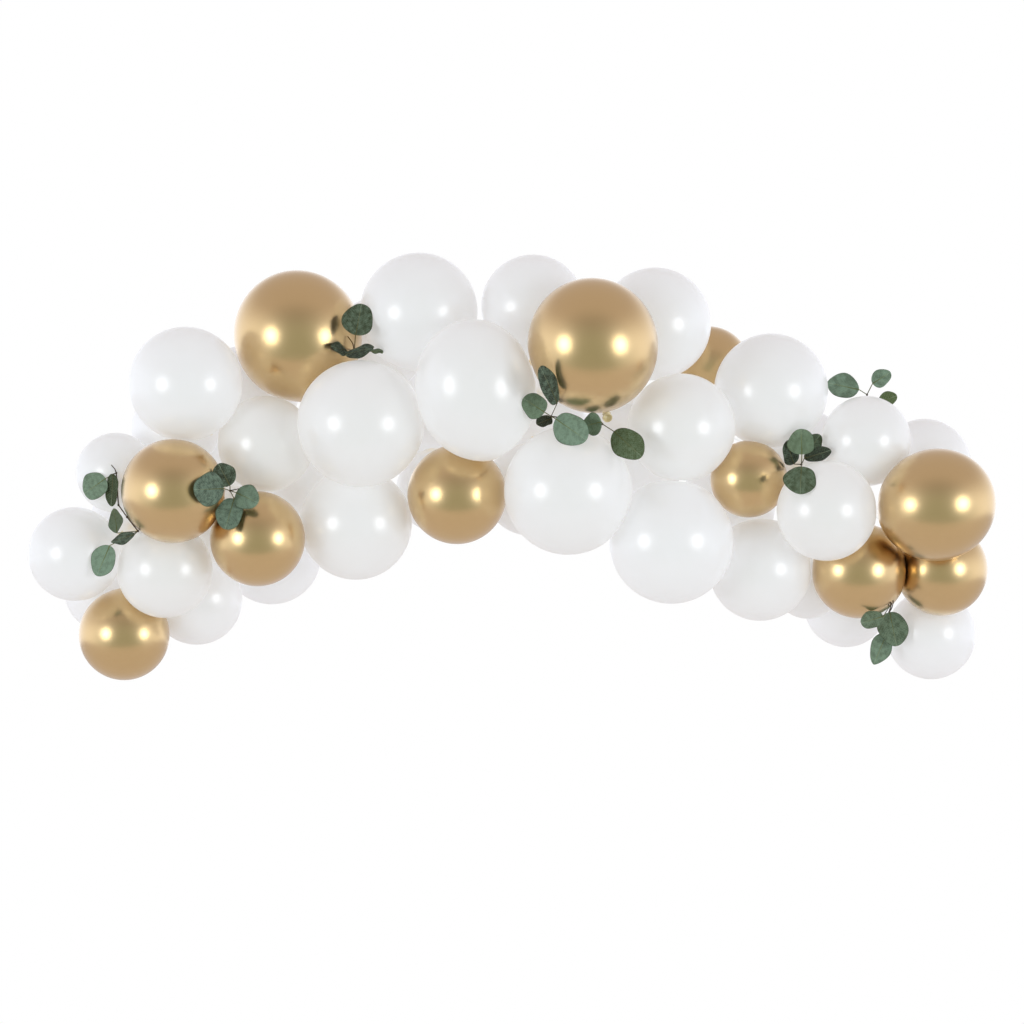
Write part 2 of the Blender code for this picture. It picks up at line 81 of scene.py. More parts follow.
camera_data = bpy.data.cameras.new("studio_camera")
camera_data.sensor_width = 36.0
camera_data.lens = camera_data.sensor_width * CAMERA_AWAY / (PHOTO_SIDE * PIXEL)
camera_data.clip_end = 2.0 * CAMERA_AWAY
camera = bpy.data.objects.new("studio_camera", camera_data)
camera.location = (
    (PHOTO_SIDE / 2 - CROWN_PIXEL[0]) * PIXEL,
    -CAMERA_AWAY,
    (CROWN_PIXEL[1] - PHOTO_SIDE / 2) * PIXEL,
)
camera.rotation_euler = (math.pi / 2, 0.0, 0.0)
bpy.context.scene.collection.objects.link(camera)
bpy.context.scene.camera = camera
bpy.context.scene.view_settings.view_transform = "Standard"
print("lens", round(camera_data.lens), "mm at", CAMERA_AWAY, "m")

# %% [markdown]
# ## One way to make every surface
#
# Everything on a garland is round: a bulb, a knot, a twig, even a leaf if its section is thought of as a
# very flat ellipse. So one helper makes them all. It takes rings of points, one ring after the other, joins
# neighbouring rings with quads and closes both ends, which gives a sealed skin that can be exported as it
# is.

# %% Rings of points to a closed skin
def ring_faces(rings, columns):
    """Faces of a closed skin over rings of points: quads between rings, a cap of one polygon at each end.

    Point (ring, column) has the number ring * columns + column. Seen from outside, columns run to the right
    when rings run upwards, so that the quads face outwards.
    """
    ring, column = np.meshgrid(np.arange(rings - 1), np.arange(columns), indexing="ij")
    here = ring * columns + column
    beside = ring * columns + (column + 1) % columns
    quads = np.stack([here, beside, beside + columns, here + columns], axis=-1).reshape(-1, 4)
    first_cap = np.arange(columns)[::-1]
    last_cap = np.arange(columns) + (rings - 1) * columns
    return quads, first_cap, last_cap


print(len(ring_faces(5, 8)[0]), "quads between five rings of eight points")

# %% [markdown]
# A piece may hold several such skins. Its materials are given skin by skin, and numbers that a material
# needs at each point, such as how thick the film is, go into the mesh as named attributes.

# %% A piece of closed skins
def join_skins(skins):
    """Several closed skins in one: points, quads and caps, with the point numbers carried on."""
    points, quads, caps, first = [], [], [], 0
    for grid in skins:
        rings, columns = grid.shape[:2]
        skin_quads, first_cap, last_cap = ring_faces(rings, columns)
        points.append(grid.reshape(-1, 3))
        quads.append(skin_quads + first)
        caps += [first_cap + first, last_cap + first]
        first += rings * columns
    return np.concatenate(points), np.concatenate(quads), caps


def add_piece(name, skins, materials, values=None, material_of_skin=None):
    """A smooth object of closed skins at the origin, with its place in its mesh.

    values holds named point attributes, each a list with one array of numbers for every skin.
    """
    points, quads, caps = join_skins(skins)
    mesh = bpy.data.meshes.new(name)
    mesh.from_pydata(points, [], [*quads.tolist(), *[cap.tolist() for cap in caps]])
    mesh.polygons.foreach_set("use_smooth", np.ones(len(mesh.polygons), dtype=bool))
    for label, arrays in (values or {}).items():
        layer = mesh.attributes.new(label, "FLOAT", "POINT")
        numbers = np.concatenate([array.ravel() for array in arrays])
        layer.data.foreach_set("value", numbers.astype(np.float32))
    for material in materials:
        mesh.materials.append(material)
    if material_of_skin:
        sizes = [(grid.shape[0] - 1) * grid.shape[1] for grid in skins]
        slots = np.repeat(material_of_skin, sizes)
        slots = np.concatenate([slots, np.repeat(material_of_skin, 2)])
        mesh.polygons.foreach_set("material_index", slots.astype(np.int32))
    mesh.update()
    piece = bpy.data.objects.new(name, mesh)
    bpy.context.scene.collection.objects.link(piece)
    return piece


# %% [markdown]
# ## Small vector helpers
#
# Directions have length one. A frame of two directions across a third one carries a ring of points.

# %% Directions
def unit(vectors):
    """Vectors divided by their own lengths, along the last axis."""
    return vectors / np.linalg.norm(vectors, axis=-1, keepdims=True)


def across(way):
    """Two unit vectors square to a way and to each other: way, first, second are right-handed."""
    helper = np.array([0.0, 0.0, 1.0]) if abs(way[2]) < 0.9 else np.array([1.0, 0.0, 0.0])
    first = unit(np.cross(helper, way))
    return first, np.cross(way, first)


print("square to straight up:", *across(np.array([0.0, 0.0, 1.0])))

# %% [markdown]
# ## The studio
#
# The garland is lit like a product on white: slightly cool white walls behind and at both sides, a dimmer
# and warmer ceiling, and a darker room on the camera's side. Chrome balloons show all of that as a
# reflection, so the room is part of the look: the camera's side makes the dark, olive middle of each gold
# balloon.
#
# The world is worked out from the direction alone. One smooth ramp runs from the camera's side to the back.
# It is tilted, so that the darkest place lies some way below the camera. A second ramp runs up to the
# ceiling. The ground behind the garland is plain white, as in the photograph: rays that come straight from
# the camera see a white backdrop, and everything else, such as a reflection, sees the room.

# %% World
def node(tree, kind, settings=(), links=()):
    """Add a node of a kind, with settings by attribute or input name and links to its inputs."""
    made = tree.nodes.new(kind)
    for name, value in dict(settings).items():
        if isinstance(name, str) and hasattr(made, name):
            setattr(made, name, value)
        else:
            made.inputs[name].default_value = value
    for name, output in dict(links).items():
        tree.links.new(output, made.inputs[name])
    return made


def linear(code):
    """A hex colour as four linear values: the sRGB curve undone, then alpha 1."""
    values = np.array([int(code[start : start + 2], 16) for start in (1, 3, 5)]) / 255.0
    bent = np.where(values <= 0.04045, values / 12.92, ((values + 0.055) / 1.055) ** 2.4)
    return (*bent.tolist(), 1.0)


ROOM_BRIGHTNESS = 1.47
WALLS = "#f2f6ff"
CAMERA_WALL = "#999f96"
CEILING = "#bbb1aa"
# How far below the camera the darkest place of the room lies, seen from the garland
DARK_BELOW = math.radians(28.0)
# Where each ramp begins and ends: 1 is straight along its own way, and -1 straight against it
DEPTH_RAMP = (-0.95, 0.1)
HEIGHT_RAMP = (0.0, 0.7)

world = bpy.data.worlds.new("studio_room")
world.use_nodes = True
tree = world.node_tree
tree.nodes.clear()
direction = node(tree, "ShaderNodeTexCoord")
parts = node(tree, "ShaderNodeSeparateXYZ", links={"Vector": direction.outputs["Generated"]})
from_camera_side = node(
    tree,
    "ShaderNodeVectorMath",
    {"operation": "DOT_PRODUCT", 1: (0.0, math.cos(DARK_BELOW), math.sin(DARK_BELOW))},
    {0: direction.outputs["Generated"]},
)
depth = node(
    tree,
    "ShaderNodeMapRange",
    {"interpolation_type": "SMOOTHSTEP", "From Min": DEPTH_RAMP[0], "From Max": DEPTH_RAMP[1]},
    {"Value": from_camera_side.outputs["Value"]},
)
height = node(
    tree,
    "ShaderNodeMapRange",
    {"interpolation_type": "SMOOTHSTEP", "From Min": HEIGHT_RAMP[0], "From Max": HEIGHT_RAMP[1]},
    {"Value": parts.outputs["Z"]},
)
walls = node(
    tree,
    "ShaderNodeMix",
    {"data_type": "RGBA", 6: linear(CAMERA_WALL), 7: linear(WALLS)},
    {0: depth.outputs["Result"]},
)
lids = node(
    tree,
    "ShaderNodeMix",
    {"data_type": "RGBA", 6: linear("#ffffff"), 7: linear(CEILING)},
    {0: height.outputs["Result"]},
)
colours = node(
    tree,
    "ShaderNodeMix",
    {"data_type": "RGBA", "blend_type": "MULTIPLY", 0: 1.0},
    {6: walls.outputs[2], 7: lids.outputs[2]},
)
room = node(tree, "ShaderNodeBackground", {"Strength": ROOM_BRIGHTNESS}, {"Color": colours.outputs[2]})
backdrop = node(tree, "ShaderNodeBackground", {"Color": linear("#ffffff")})
seen_straight = node(tree, "ShaderNodeLightPath")
surroundings = node(
    tree,
    "ShaderNodeMixShader",
    links={
        0: seen_straight.outputs["Is Camera Ray"],
        1: room.outputs["Background"],
        2: backdrop.outputs["Background"],
    },
)
node(tree, "ShaderNodeOutputWorld", links={"Surface": surroundings.outputs["Shader"]})
bpy.context.scene.world = world
print("room with walls", ROOM_BRIGHTNESS, "bright, camera side", CAMERA_WALL, "and ceiling", CEILING)

# %% [markdown]
# Two softboxes stand left and right of the camera, at the garland's height, and give each balloon its two
# highlights. They are disks. A light at an angle A from the camera shows on a ball at half that angle, so a
# highlight at 0.42 of the radius asks for a light at twice asin(0.42). They stand far off, so that the
# highlights sit at the same place on every balloon. Their light is faintly blue, against the warm glow that
# is painted into the white latex.

# %% Softboxes
SOFTBOX_AWAY = 9.0
SOFTBOX_WIDTH = 3.6
SOFTBOX_POWER = 175.0
SOFTBOX_COLOUR = (0.94, 0.97, 1.0)
HIGHLIGHT_SHARE = 0.42

softbox_turn = 2.0 * math.asin(HIGHLIGHT_SHARE)
target = Vector((0.0, 0.0, (cad_low.z + cad_high.z) / 2.0))
for side in (-1, 1):
    softbox_data = bpy.data.lights.new(f"softbox_{side}", "AREA")
    softbox_data.shape = "DISK"
    softbox_data.size = SOFTBOX_WIDTH
    softbox_data.energy = SOFTBOX_POWER
    softbox_data.color = SOFTBOX_COLOUR
    softbox = bpy.data.objects.new(f"softbox_{side}", softbox_data)
    way = Vector((side * math.sin(softbox_turn), -math.cos(softbox_turn), 0.0))
    softbox.location = target + way * SOFTBOX_AWAY
    softbox.rotation_euler = (-way).to_track_quat("-Z", "Y").to_euler()
    softbox.visible_camera = False
    bpy.context.scene.collection.objects.link(softbox)
print("softboxes at", round(math.degrees(softbox_turn)), "degrees on both sides")

# %% [markdown]
# The floor is plain matt white and lies well below the garland, which hangs. It is one flat disk. It starts
# 2 m before the garland and runs back from there, so that the gold balloons mirror its white only low down.

# %% Floor
FLOOR_BELOW = 1.1
FLOOR_RADIUS = 8.0
FLOOR_FRONT = -2.0
FLOOR_COLUMNS = 64

floor_material = bpy.data.materials.new("matt_white_floor")
floor_material.use_nodes = True
floor_shader = floor_material.node_tree.nodes["Principled BSDF"]
floor_shader.inputs["Base Color"].default_value = linear("#f8f5f2")
floor_shader.inputs["Roughness"].default_value = 0.9
floor_turn = np.linspace(0.0, 2.0 * math.pi, FLOOR_COLUMNS, endpoint=False)
floor_ring = np.stack([np.cos(floor_turn), np.sin(floor_turn), 0.0 * floor_turn], axis=1) * FLOOR_RADIUS
floor_height = cad_low.z - FLOOR_BELOW
floor_middle = np.array([0.0, FLOOR_FRONT + FLOOR_RADIUS, floor_height])
floor_mesh = bpy.data.meshes.new("studio_floor")
floor_mesh.from_pydata(floor_ring + floor_middle, [], [tuple(range(FLOOR_COLUMNS))])
floor_mesh.materials.append(floor_material)
floor = bpy.data.objects.new("studio_floor", floor_mesh)
bpy.context.scene.collection.objects.link(floor)
print("floor at", round(floor_height, 2), "m")

# %% [markdown]
# ## Measuring the balloons
#
# Each balloon's solid is a ball of flat facets, with flat places where it presses on its neighbours and a
# short neck. Its free corners lie on the balloon's own skin, a little swollen. So the true centre, radius
# and length come from a least-squares fit that drops the corners that don't lie on the skin, round by
# round.

# %% Corners of a solid
def mesh_arrays(mesh):
    """Corners and triangles of a mesh as two arrays."""
    mesh.calc_loop_triangles()
    corners = np.empty(len(mesh.vertices) * 3, dtype=np.float32)
    mesh.vertices.foreach_get("co", corners)
    triangles = np.empty(len(mesh.loop_triangles) * 3, dtype=np.int32)
    mesh.loop_triangles.foreach_get("vertices", triangles)
    return corners.reshape(-1, 3).astype(float), triangles.reshape(-1, 3)


def node_corners(name):
    """The different corners of a CAD node, one row of x, y, z each."""
    return np.unique(mesh_arrays(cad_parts[name].data)[0].round(6), axis=0)


strip_corners = node_corners("decorating_strip")
strip_middle = strip_corners[strip_corners[:, 1] > 0.0]
strip_middle = strip_middle[np.argsort(strip_middle[:, 0])]
strip_width = float(np.ptp(strip_corners[:, 1]))
print("strip", len(strip_middle) // 2, "bends,", round(1000 * strip_width), "mm wide")

# %% [markdown]
# The strip's solid is a chain of flat stretches. Its upper corners on one edge, moved to the middle, are the
# line that the necks are tied to.

# %% The strip's line
def upper_line(corners):
    """Of pairs of corners that are next to each other along X, the upper one of each pair."""
    line = []
    for first, second in zip(corners[0::2], corners[1::2]):
        line.append(first if first[2] > second[2] else second)
    return np.array(line) * np.array([1.0, 0.0, 1.0])


strip_line = upper_line(strip_middle)
print("strip line from", strip_line[0].round(3), "to", strip_line[-1].round(3))


def nearest_on_stretches(point):
    """On each flat stretch of the strip's line, the point that is nearest to a point."""
    start, along = strip_line[:-1], np.diff(strip_line, axis=0)
    share = ((point - start) * along).sum(-1) / (along * along).sum(-1)
    return start + np.clip(share, 0.0, 1.0)[:, None] * along


def nearest_on_strip(point):
    """The strip line's point that is nearest to a point."""
    nearest = nearest_on_stretches(point)
    return nearest[np.linalg.norm(nearest - point, axis=1).argmin()]


# %% [markdown]
# The fit works on five numbers: the centre, the radius, and how much longer the balloon is along its neck.
# Along a unit way w from the centre, with a = w . neck, the skin is at R / sqrt(1 - a² + (a / length)²).

# %% Fit of one balloon
# How far from the skin a corner may lie to count, in metres, from the first round to the last
FIT_TOLERANCES = (0.02, 0.008, 0.003, 0.001, 0.0003, 0.0001)
FIT_TRIES = 4
FIT_STEP = 1e-6


def skin_radius(ways, neck, radius, length):
    """Distance of an ellipsoid's skin from its centre along unit ways: long along the neck, else round."""
    along = ways @ neck
    return radius / np.sqrt(1.0 - along**2 + (along / length) ** 2)


def fit_balloon(corners, neck, guess, stretched):
    """Centre, radius and length that fit the skin's corners: least-squares steps on ever fewer of them."""
    values = np.array(guess, dtype=float)
    free = 5 if stretched else 4

    def gaps(trial, points):
        """How far points lie outside the skin of a trial."""
        away = points - trial[:3]
        distance = np.linalg.norm(away, axis=1)
        return distance - skin_radius(away / distance[:, None], neck, trial[3], trial[4])

    for tolerance in FIT_TOLERANCES:
        kept = corners[np.abs(gaps(values, corners)) < tolerance]
        for _ in range(FIT_TRIES):
            residual = gaps(values, kept)
            nudges = values + FIT_STEP * np.eye(5)[:free]
            slope = np.stack([(gaps(nudge, kept) - residual) / FIT_STEP for nudge in nudges], axis=1)
            values[:free] -= np.linalg.lstsq(slope, residual, rcond=None)[0]
    return values


print("a skin stretched by 1.2 reaches", skin_radius(np.eye(3), np.eye(3)[2], 1.0, 1.2).round(2))

# %% [markdown]
# The neck is where the solid stands out farthest. Where it doesn't, the neck is squeezed, and it points at
# the nearest place on the strip. Three long balloons show in the photograph which way their necks point.

# %% Measure every balloon
# A solid's corners lie farther out than the skin, by this factor
FACET_SWELL = 1.012
# A corner belongs to the neck where it is farther out than the radius, by this factor
NECK_STANDS_OUT = 1.06
# The long balloons that the photograph shows from the side, and the way that their necks point
NECK_WAY = {
    "white_balloon_18": (0.17, 0.20, -1.0),
    "gold_balloon_21": (0.20, 0.40, -1.0),
    "gold_balloon_33": (-1.0, 0.25, -0.20),
}


def measure_balloon(name):
    """One balloon's centre, radius, length, neck way and how far its solid reaches along the neck."""
    corners = node_corners(name)
    middle = (corners.min(axis=0) + corners.max(axis=0)) / 2.0
    radius = np.median(np.linalg.norm(corners - middle, axis=1))
    known = name in NECK_WAY
    neck = unit(np.array(NECK_WAY.get(name, (0.0, 0.0, 1.0))))
    values = fit_balloon(corners, neck, [*middle, radius, 1.0], known)
    out = np.linalg.norm(corners - values[:3], axis=1)
    standing = corners[out > NECK_STANDS_OUT * values[3]]
    shows_neck = known or len(standing) >= 3
    if not known:
        neck = unit((standing.mean(axis=0) if shows_neck else nearest_on_strip(values[:3])) - values[:3])
    values = fit_balloon(corners, neck, values, shows_neck)
    return {
        "name": name,
        "centre": values[:3],
        "radius": values[3] / FACET_SWELL,
        "length": values[4],
        "neck": neck,
        "tip": ((corners - values[:3]) @ neck).max(),
    }


balloons = [measure_balloon(name) for name in node_names if "balloon" in name]
widths = [2000 * balloon["radius"] for balloon in balloons]
print(len(balloons), "balloons,", round(min(widths)), "to", round(max(widths)), "mm wide")

# %% [markdown]
# ## Where balloons press on each other
#
# Two balloons that touch flatten each other. The flat place lies in the plane where both skins would have
# met. A skin may not cross any such plane, nor the strip. A hard cut would leave a sharp rim, which air
# under pressure never shows. So the skin's distance r and the planes' distances t are blended with a high
# power p: (r^-p + t1^-p + t2^-p + ...)^(-1/p). That is always a little less than the smallest of them, and
# round.

# %% Contact planes and the blend
NECK_DRAW = 0.15
CONTACT_GAP = 0.0003
STRIP_THICKNESS = 0.0008
BLEND_POWER = 40.0


def contact_planes(balloon):
    """Planes that a skin stays behind: unit ways from the centre, and how far away they are along them."""
    ways, rooms = [], []
    centre = balloon["centre"]
    for other in balloons:
        if other is balloon:
            continue
        apart = other["centre"] - centre
        distance = np.linalg.norm(apart)
        way = apart / distance
        own = skin_radius(way[None], balloon["neck"], balloon["radius"], balloon["length"])[0]
        its = skin_radius(-way[None], other["neck"], other["radius"], other["length"])[0]
        if distance < (own + its) * (1.0 + NECK_DRAW):
            ways.append(way)
            rooms.append((distance**2 + own**2 - its**2) / (2.0 * distance) - CONTACT_GAP / 2.0)
    nearest = nearest_on_stretches(centre) - centre
    distance = np.linalg.norm(nearest, axis=1)
    half = strip_width / 2.0 * np.abs(nearest[:, 1] / distance) + STRIP_THICKNESS
    ways = np.concatenate([ways, nearest / distance[:, None]])
    return ways, np.concatenate([rooms, distance - half - CONTACT_GAP])


def pressed(reach, ways, planes):
    """The blend of a skin's reach along unit ways with the planes' distances along the same ways."""
    plane_ways, rooms = planes
    facing = np.maximum(ways @ plane_ways.T, 1e-6)
    terms = (reach[..., None] * facing / rooms) ** BLEND_POWER
    return reach * (1.0 + terms.sum(axis=-1)) ** (-1.0 / BLEND_POWER)


planes_of = {balloon["name"]: contact_planes(balloon) for balloon in balloons}
print("most planes round one balloon:", max(len(rooms) for _, rooms in planes_of.values()))

# %% [markdown]
# ## The neck, the knot and the lip
#
# A tied balloon ends in a short tube, a round knot and a flared mouth with a rolled lip. That is one
# profile, turned round a path that starts along the neck and may bend. On the gold balloon above the middle
# sprig the lip turns to the camera and shows as a small ring. On most others it hides between the balloons,
# and there the tail is no longer than the solid's own neck, so that it never comes out through a neighbour.

# %% Tail profile
# Distance along the tail and radius there, as shares of the whole tail's length
TAIL_PROFILE = np.array(
    [
        (0.00, 0.24),
        (0.06, 0.19),
        (0.13, 0.17),
        (0.18, 0.20),
        (0.24, 0.29),
        (0.32, 0.33),
        (0.40, 0.30),
        (0.46, 0.21),
        (0.51, 0.16),
        (0.58, 0.17),
        (0.68, 0.23),
        (0.80, 0.30),
        (0.89, 0.34),
        (0.92, 0.375),
        (0.965, 0.39),
        (1.00, 0.37),
        (1.00, 0.33),
        (0.97, 0.305),
        (0.93, 0.29),
        (0.84, 0.22),
        (0.74, 0.13),
        (0.68, 0.04),
    ]
)
# The tail's length as a share of the balloon's radius, and the length under which it is left out
TAIL_SHARE = 0.2
TAIL_LEAST = 0.006
# The tail's path is worked out in this many steps, and has made its bend after this share of it
TAIL_STEPS = 40
TAIL_BEND = 0.6
# Tails whose mouth doesn't point along the neck: the way that it points
TAIL_WAY = {"gold_balloon_21": (0.10, -0.85, -0.40)}
# Balloons whose tail is pushed in flat between their neighbours, where nothing of it shows
TUCKED = ("gold_balloon_19", "white_balloon_27", "white_balloon_40")


def smooth(share):
    """0 to 1 with level ends: 3 s² - 2 s³."""
    share = np.clip(share, 0.0, 1.0)
    return share * share * (3.0 - 2.0 * share)


def tail_rings(start, neck, mouth, length, turn):
    """Rings of the tail. Its path turns from the neck's way to the mouth's way, early on."""
    first, _ = across(neck)
    steps = np.linspace(0.0, 1.0, TAIL_STEPS + 1)
    ways = unit(neck + smooth(steps / TAIL_BEND)[:, None] * (mouth - neck))
    travelled = np.cumsum((ways[1:] + ways[:-1]) / 2.0, axis=0)
    path = start + np.concatenate([np.zeros((1, 3)), travelled]) * length / TAIL_STEPS
    shares = TAIL_PROFILE[:, 0]
    middle = np.stack([np.interp(shares, steps, path[:, axis]) for axis in range(3)], axis=1)
    way = unit(np.stack([np.interp(shares, steps, ways[:, axis]) for axis in range(3)], axis=1))
    side = unit(first - way * (way @ first)[:, None])
    up = np.cross(way, side)
    ring = np.cos(turn)[None, :, None] * side[:, None] + np.sin(turn)[None, :, None] * up[:, None]
    return middle[:, None] + ring * (TAIL_PROFILE[:, 1] * length)[:, None, None]


print("tail of", len(TAIL_PROFILE), "rings")

# %% [markdown]
# ## The balloon's skin
#
# The two parameters are the angle from the neck and the turn round it. Rings run from the crown opposite the
# neck to the neck, and lie closer together near it, where the skin draws out into the tube:
# reach = ellipsoid * (1 + draw * exp(-(angle / width)^1.2)).

# %% Skin of one balloon
COLUMNS = 88
CROWN_RINGS = 50
NECK_RINGS = 14
POLE_ANGLE = math.radians(1.2)
NECK_ZONE = math.radians(32.0)
DRAW = 0.045
DRAW_WIDTH = math.radians(14.0)


def balloon_skin(balloon):
    """Rings of points of one balloon, and how thick its latex is at each: 0 on the bulb, 1 at the knot."""
    neck, radius = balloon["neck"], balloon["radius"]
    first, second = across(neck)
    turn = np.linspace(0.0, 2.0 * math.pi, COLUMNS, endpoint=False)
    neck_reach = radius * balloon["length"] * (1.0 + DRAW)
    tail_length = TAIL_SHARE * radius
    if balloon["name"] not in TAIL_WAY:
        tail_length = min(tail_length, balloon["tip"] - neck_reach)
    has_tail = tail_length > TAIL_LEAST and balloon["name"] not in TUCKED
    tube = TAIL_PROFILE[0, 1] * tail_length
    last = math.asin(tube / neck_reach) if has_tail else POLE_ANGLE
    angle = np.concatenate(
        [
            np.linspace(math.pi - POLE_ANGLE, NECK_ZONE, CROWN_RINGS, endpoint=False),
            np.linspace(NECK_ZONE, last, NECK_RINGS),
        ]
    )
    sideways = np.cos(turn)[:, None] * first + np.sin(turn)[:, None] * second
    ways = np.cos(angle)[:, None, None] * neck + np.sin(angle)[:, None, None] * sideways
    flare = np.exp(-((angle / DRAW_WIDTH) ** 1.2))
    reach = skin_radius(ways, neck, radius, balloon["length"]) * (1.0 + DRAW * flare)[:, None]
    reach = pressed(reach, ways, planes_of[balloon["name"]])
    grid = balloon["centre"] + ways * reach[..., None]
    thick = flare**2
    if has_tail:
        start = grid[-1].mean(axis=0)
        mouth = unit(np.array(TAIL_WAY.get(balloon["name"], neck)))
        tail = tail_rings(start, neck, mouth, tail_length, turn)
        grid = np.concatenate([grid[:-1], tail])
        thick = np.concatenate([thick[:-1], np.ones(len(tail))])
    return grid, np.repeat(thick[:, None], COLUMNS, axis=1)


print(CROWN_RINGS + NECK_RINGS, "rings of", COLUMNS, "points on each bulb")

# %% [markdown]
# ## White latex
#
# The white balloons are plain natural latex, dipped thin on a former and cured: a milky rubber with a soft
# gloss. Much of the light goes through the film and comes out somewhere else, so a bulb never looks chalky
# and its shaded side stays pale. A share of the shader is translucent for that. Each bulb also glows with a
# faint warm emission. That is painted light: it stands in for light bounced about inside and between the
# balloons, and it fills the gaps between them with cream. Near the knot the film is thicker and turns
# creamier.
# Latex has an IOR of about 1.5. The balloons in the photograph shine more than that gives, so it is raised
# until the highlights are as strong as theirs.

# %% White latex
def principled(name):
    """A new material, its node tree and its Principled shader."""
    material = bpy.data.materials.new(name)
    material.use_nodes = True
    return material, material.node_tree, material.node_tree.nodes["Principled BSDF"]


def set_values(shader, values):
    """Set a shader's own sockets to plain values."""
    for label, value in values.items():
        shader.inputs[label].default_value = value


# Latex cures with a faint pebble of about this size
LATEX_PEBBLE = 0.004


def add_pebble(tree, shader):
    """The faint pebble of cured latex: a soft noise as a bump of the shader's surface."""
    place = node(tree, "ShaderNodeTexCoord")
    pebble = node(
        tree,
        "ShaderNodeTexNoise",
        {"Scale": 1.0 / LATEX_PEBBLE, "Detail": 2.0},
        {"Vector": place.outputs["Object"]},
    )
    relief = node(
        tree,
        "ShaderNodeBump",
        {"Strength": 0.03, "Distance": 0.0003},
        {"Height": pebble.outputs["Fac"]},
    )
    tree.links.new(relief.outputs["Normal"], shader.inputs["Normal"])


# The share of the light that the thin film lets through, and the strength of its painted glow: a warm
# emission that stands in for light bounced about between the balloons
FILM_THROUGH = 0.42
PAINTED_GLOW = 0.20

white_latex, tree, shader = principled("white_latex")
set_values(
    shader,
    {
        "IOR": 2.1,
        "Roughness": 0.26,
        # Painted light: this warm emission brightens the shaded gaps between the balloons
        "Emission Color": linear("#ffe8c2"),
        "Emission Strength": PAINTED_GLOW,
    },
)
film = node(tree, "ShaderNodeAttribute", {"attribute_name": "film"})
cream = node(
    tree,
    "ShaderNodeMix",
    {"data_type": "RGBA", 6: linear("#f2f7fe"), 7: linear("#f3ecdc")},
    {0: film.outputs["Fac"]},
)
tree.links.new(cream.outputs[2], shader.inputs["Base Color"])
add_pebble(tree, shader)
through = node(tree, "ShaderNodeBsdfTranslucent", links={"Color": cream.outputs[2]})
film_mix = node(
    tree,
    "ShaderNodeMixShader",
    {0: FILM_THROUGH},
    {1: shader.outputs["BSDF"], 2: through.outputs["BSDF"]},
)
tree.links.new(film_mix.outputs["Shader"], tree.nodes["Material Output"].inputs["Surface"])
print("white latex lets", FILM_THROUGH, "of the light through")

# %% [markdown]
# ## Chrome gold latex
#
# Chrome balloons are latex with fine metal flake in the film. They mirror the room, softly, in a brownish
# gold. On top lies the rubber's own clear gloss, which turns the softboxes' reflections nearly white. At
# the knot the film isn't blown up, so it shows as pale beige rubber with little shine: there the metal
# fades out.

# %% Chrome gold latex
KNOT_FLAKE = 0.15

gold_latex, tree, shader = principled("chrome_gold_latex")
set_values(
    shader,
    {"Roughness": 0.26, "Coat Weight": 1.0, "Coat Roughness": 0.32, "Coat IOR": 2.5},
)
film = node(tree, "ShaderNodeAttribute", {"attribute_name": "film"})
thick_gold = node(
    tree,
    "ShaderNodeMix",
    {"data_type": "RGBA", 6: linear("#cda552"), 7: linear("#ead9a8")},
    {0: film.outputs["Fac"]},
)
flake = node(
    tree,
    "ShaderNodeMapRange",
    {"To Min": 1.0, "To Max": KNOT_FLAKE},
    {"Value": film.outputs["Fac"]},
)
tree.links.new(thick_gold.outputs[2], shader.inputs["Base Color"])
tree.links.new(flake.outputs["Result"], shader.inputs["Metallic"])
add_pebble(tree, shader)
print("metal flake falls to", KNOT_FLAKE, "at the knot")

# %% [markdown]
# ## Blow up the balloons
#
# Every balloon's skin takes the place of its solid. Its latex follows from its name.

# %% Balloon pieces
FINISH_OF = {"white": white_latex, "fill": white_latex, "gold": gold_latex}


def signed_volume(piece):
    """Volume inside a piece's skin, negative if its faces point inwards, and how many triangles it has."""
    corners, triangles = mesh_arrays(piece.data)
    a, b, c = corners[triangles].transpose(1, 0, 2)
    return float((a * np.cross(b, c)).sum() / 6.0), len(triangles)


latex_triangles = 0
for balloon in balloons:
    kind = balloon["name"].split("_")[0]
    grid, film_values = balloon_skin(balloon)
    piece = add_piece(balloon["name"] + "_skin", [grid], [FINISH_OF[kind]], {"film": [film_values]})
    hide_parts(balloon["name"])
    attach(piece, "root")
    volume, count = signed_volume(piece)
    latex_triangles += count
    if volume <= 0.0:
        print(balloon["name"], "is inside out")
print(latex_triangles, "triangles of latex")

# %% [markdown]
# ## The decorating strip
#
# Balloon garlands of this kind are built on a clear plastic tape with a row of holes: each knot is pushed
# through a hole and holds by itself. The photograph shows none of it, because the balloons hide it. First
# the arch is measured on the strip's solid, which is level at the crown and then falls off as a parabola.

# %% The strip's arch
strip_reach = strip_line[-1, 0]
crown_half = np.abs(strip_line[:, 0]).min()
crown_radius = (strip_reach**2 - crown_half**2) / (-2.0 * strip_line[-1, 2])


def strip_height(across):
    """Height of the strip's top: level at the crown, then a parabola."""
    return -np.maximum(0.0, np.square(across) - crown_half**2) / (2.0 * crown_radius)


print("arch: crown radius", round(crown_radius, 3), "m, reach", round(strip_reach, 3), "m")

# %% [markdown]
# The real tape is extruded flat and then punched. A Boolean modifier could cut the holes, but a grid gives
# cleaner faces: each hole has a square cell, filled by rings of quads between the hole's circle and the
# cell's edge. The cells are merged along the edges that they share.

# %% Perforated tape
HOLES = 72
HOLE_RADIUS = 0.0045
SIDE_STEPS = 8
PLASTIC_RINGS = 4
# Points count as one where they agree when a metre is cut into this many parts
MERGE_PARTS = 1e7


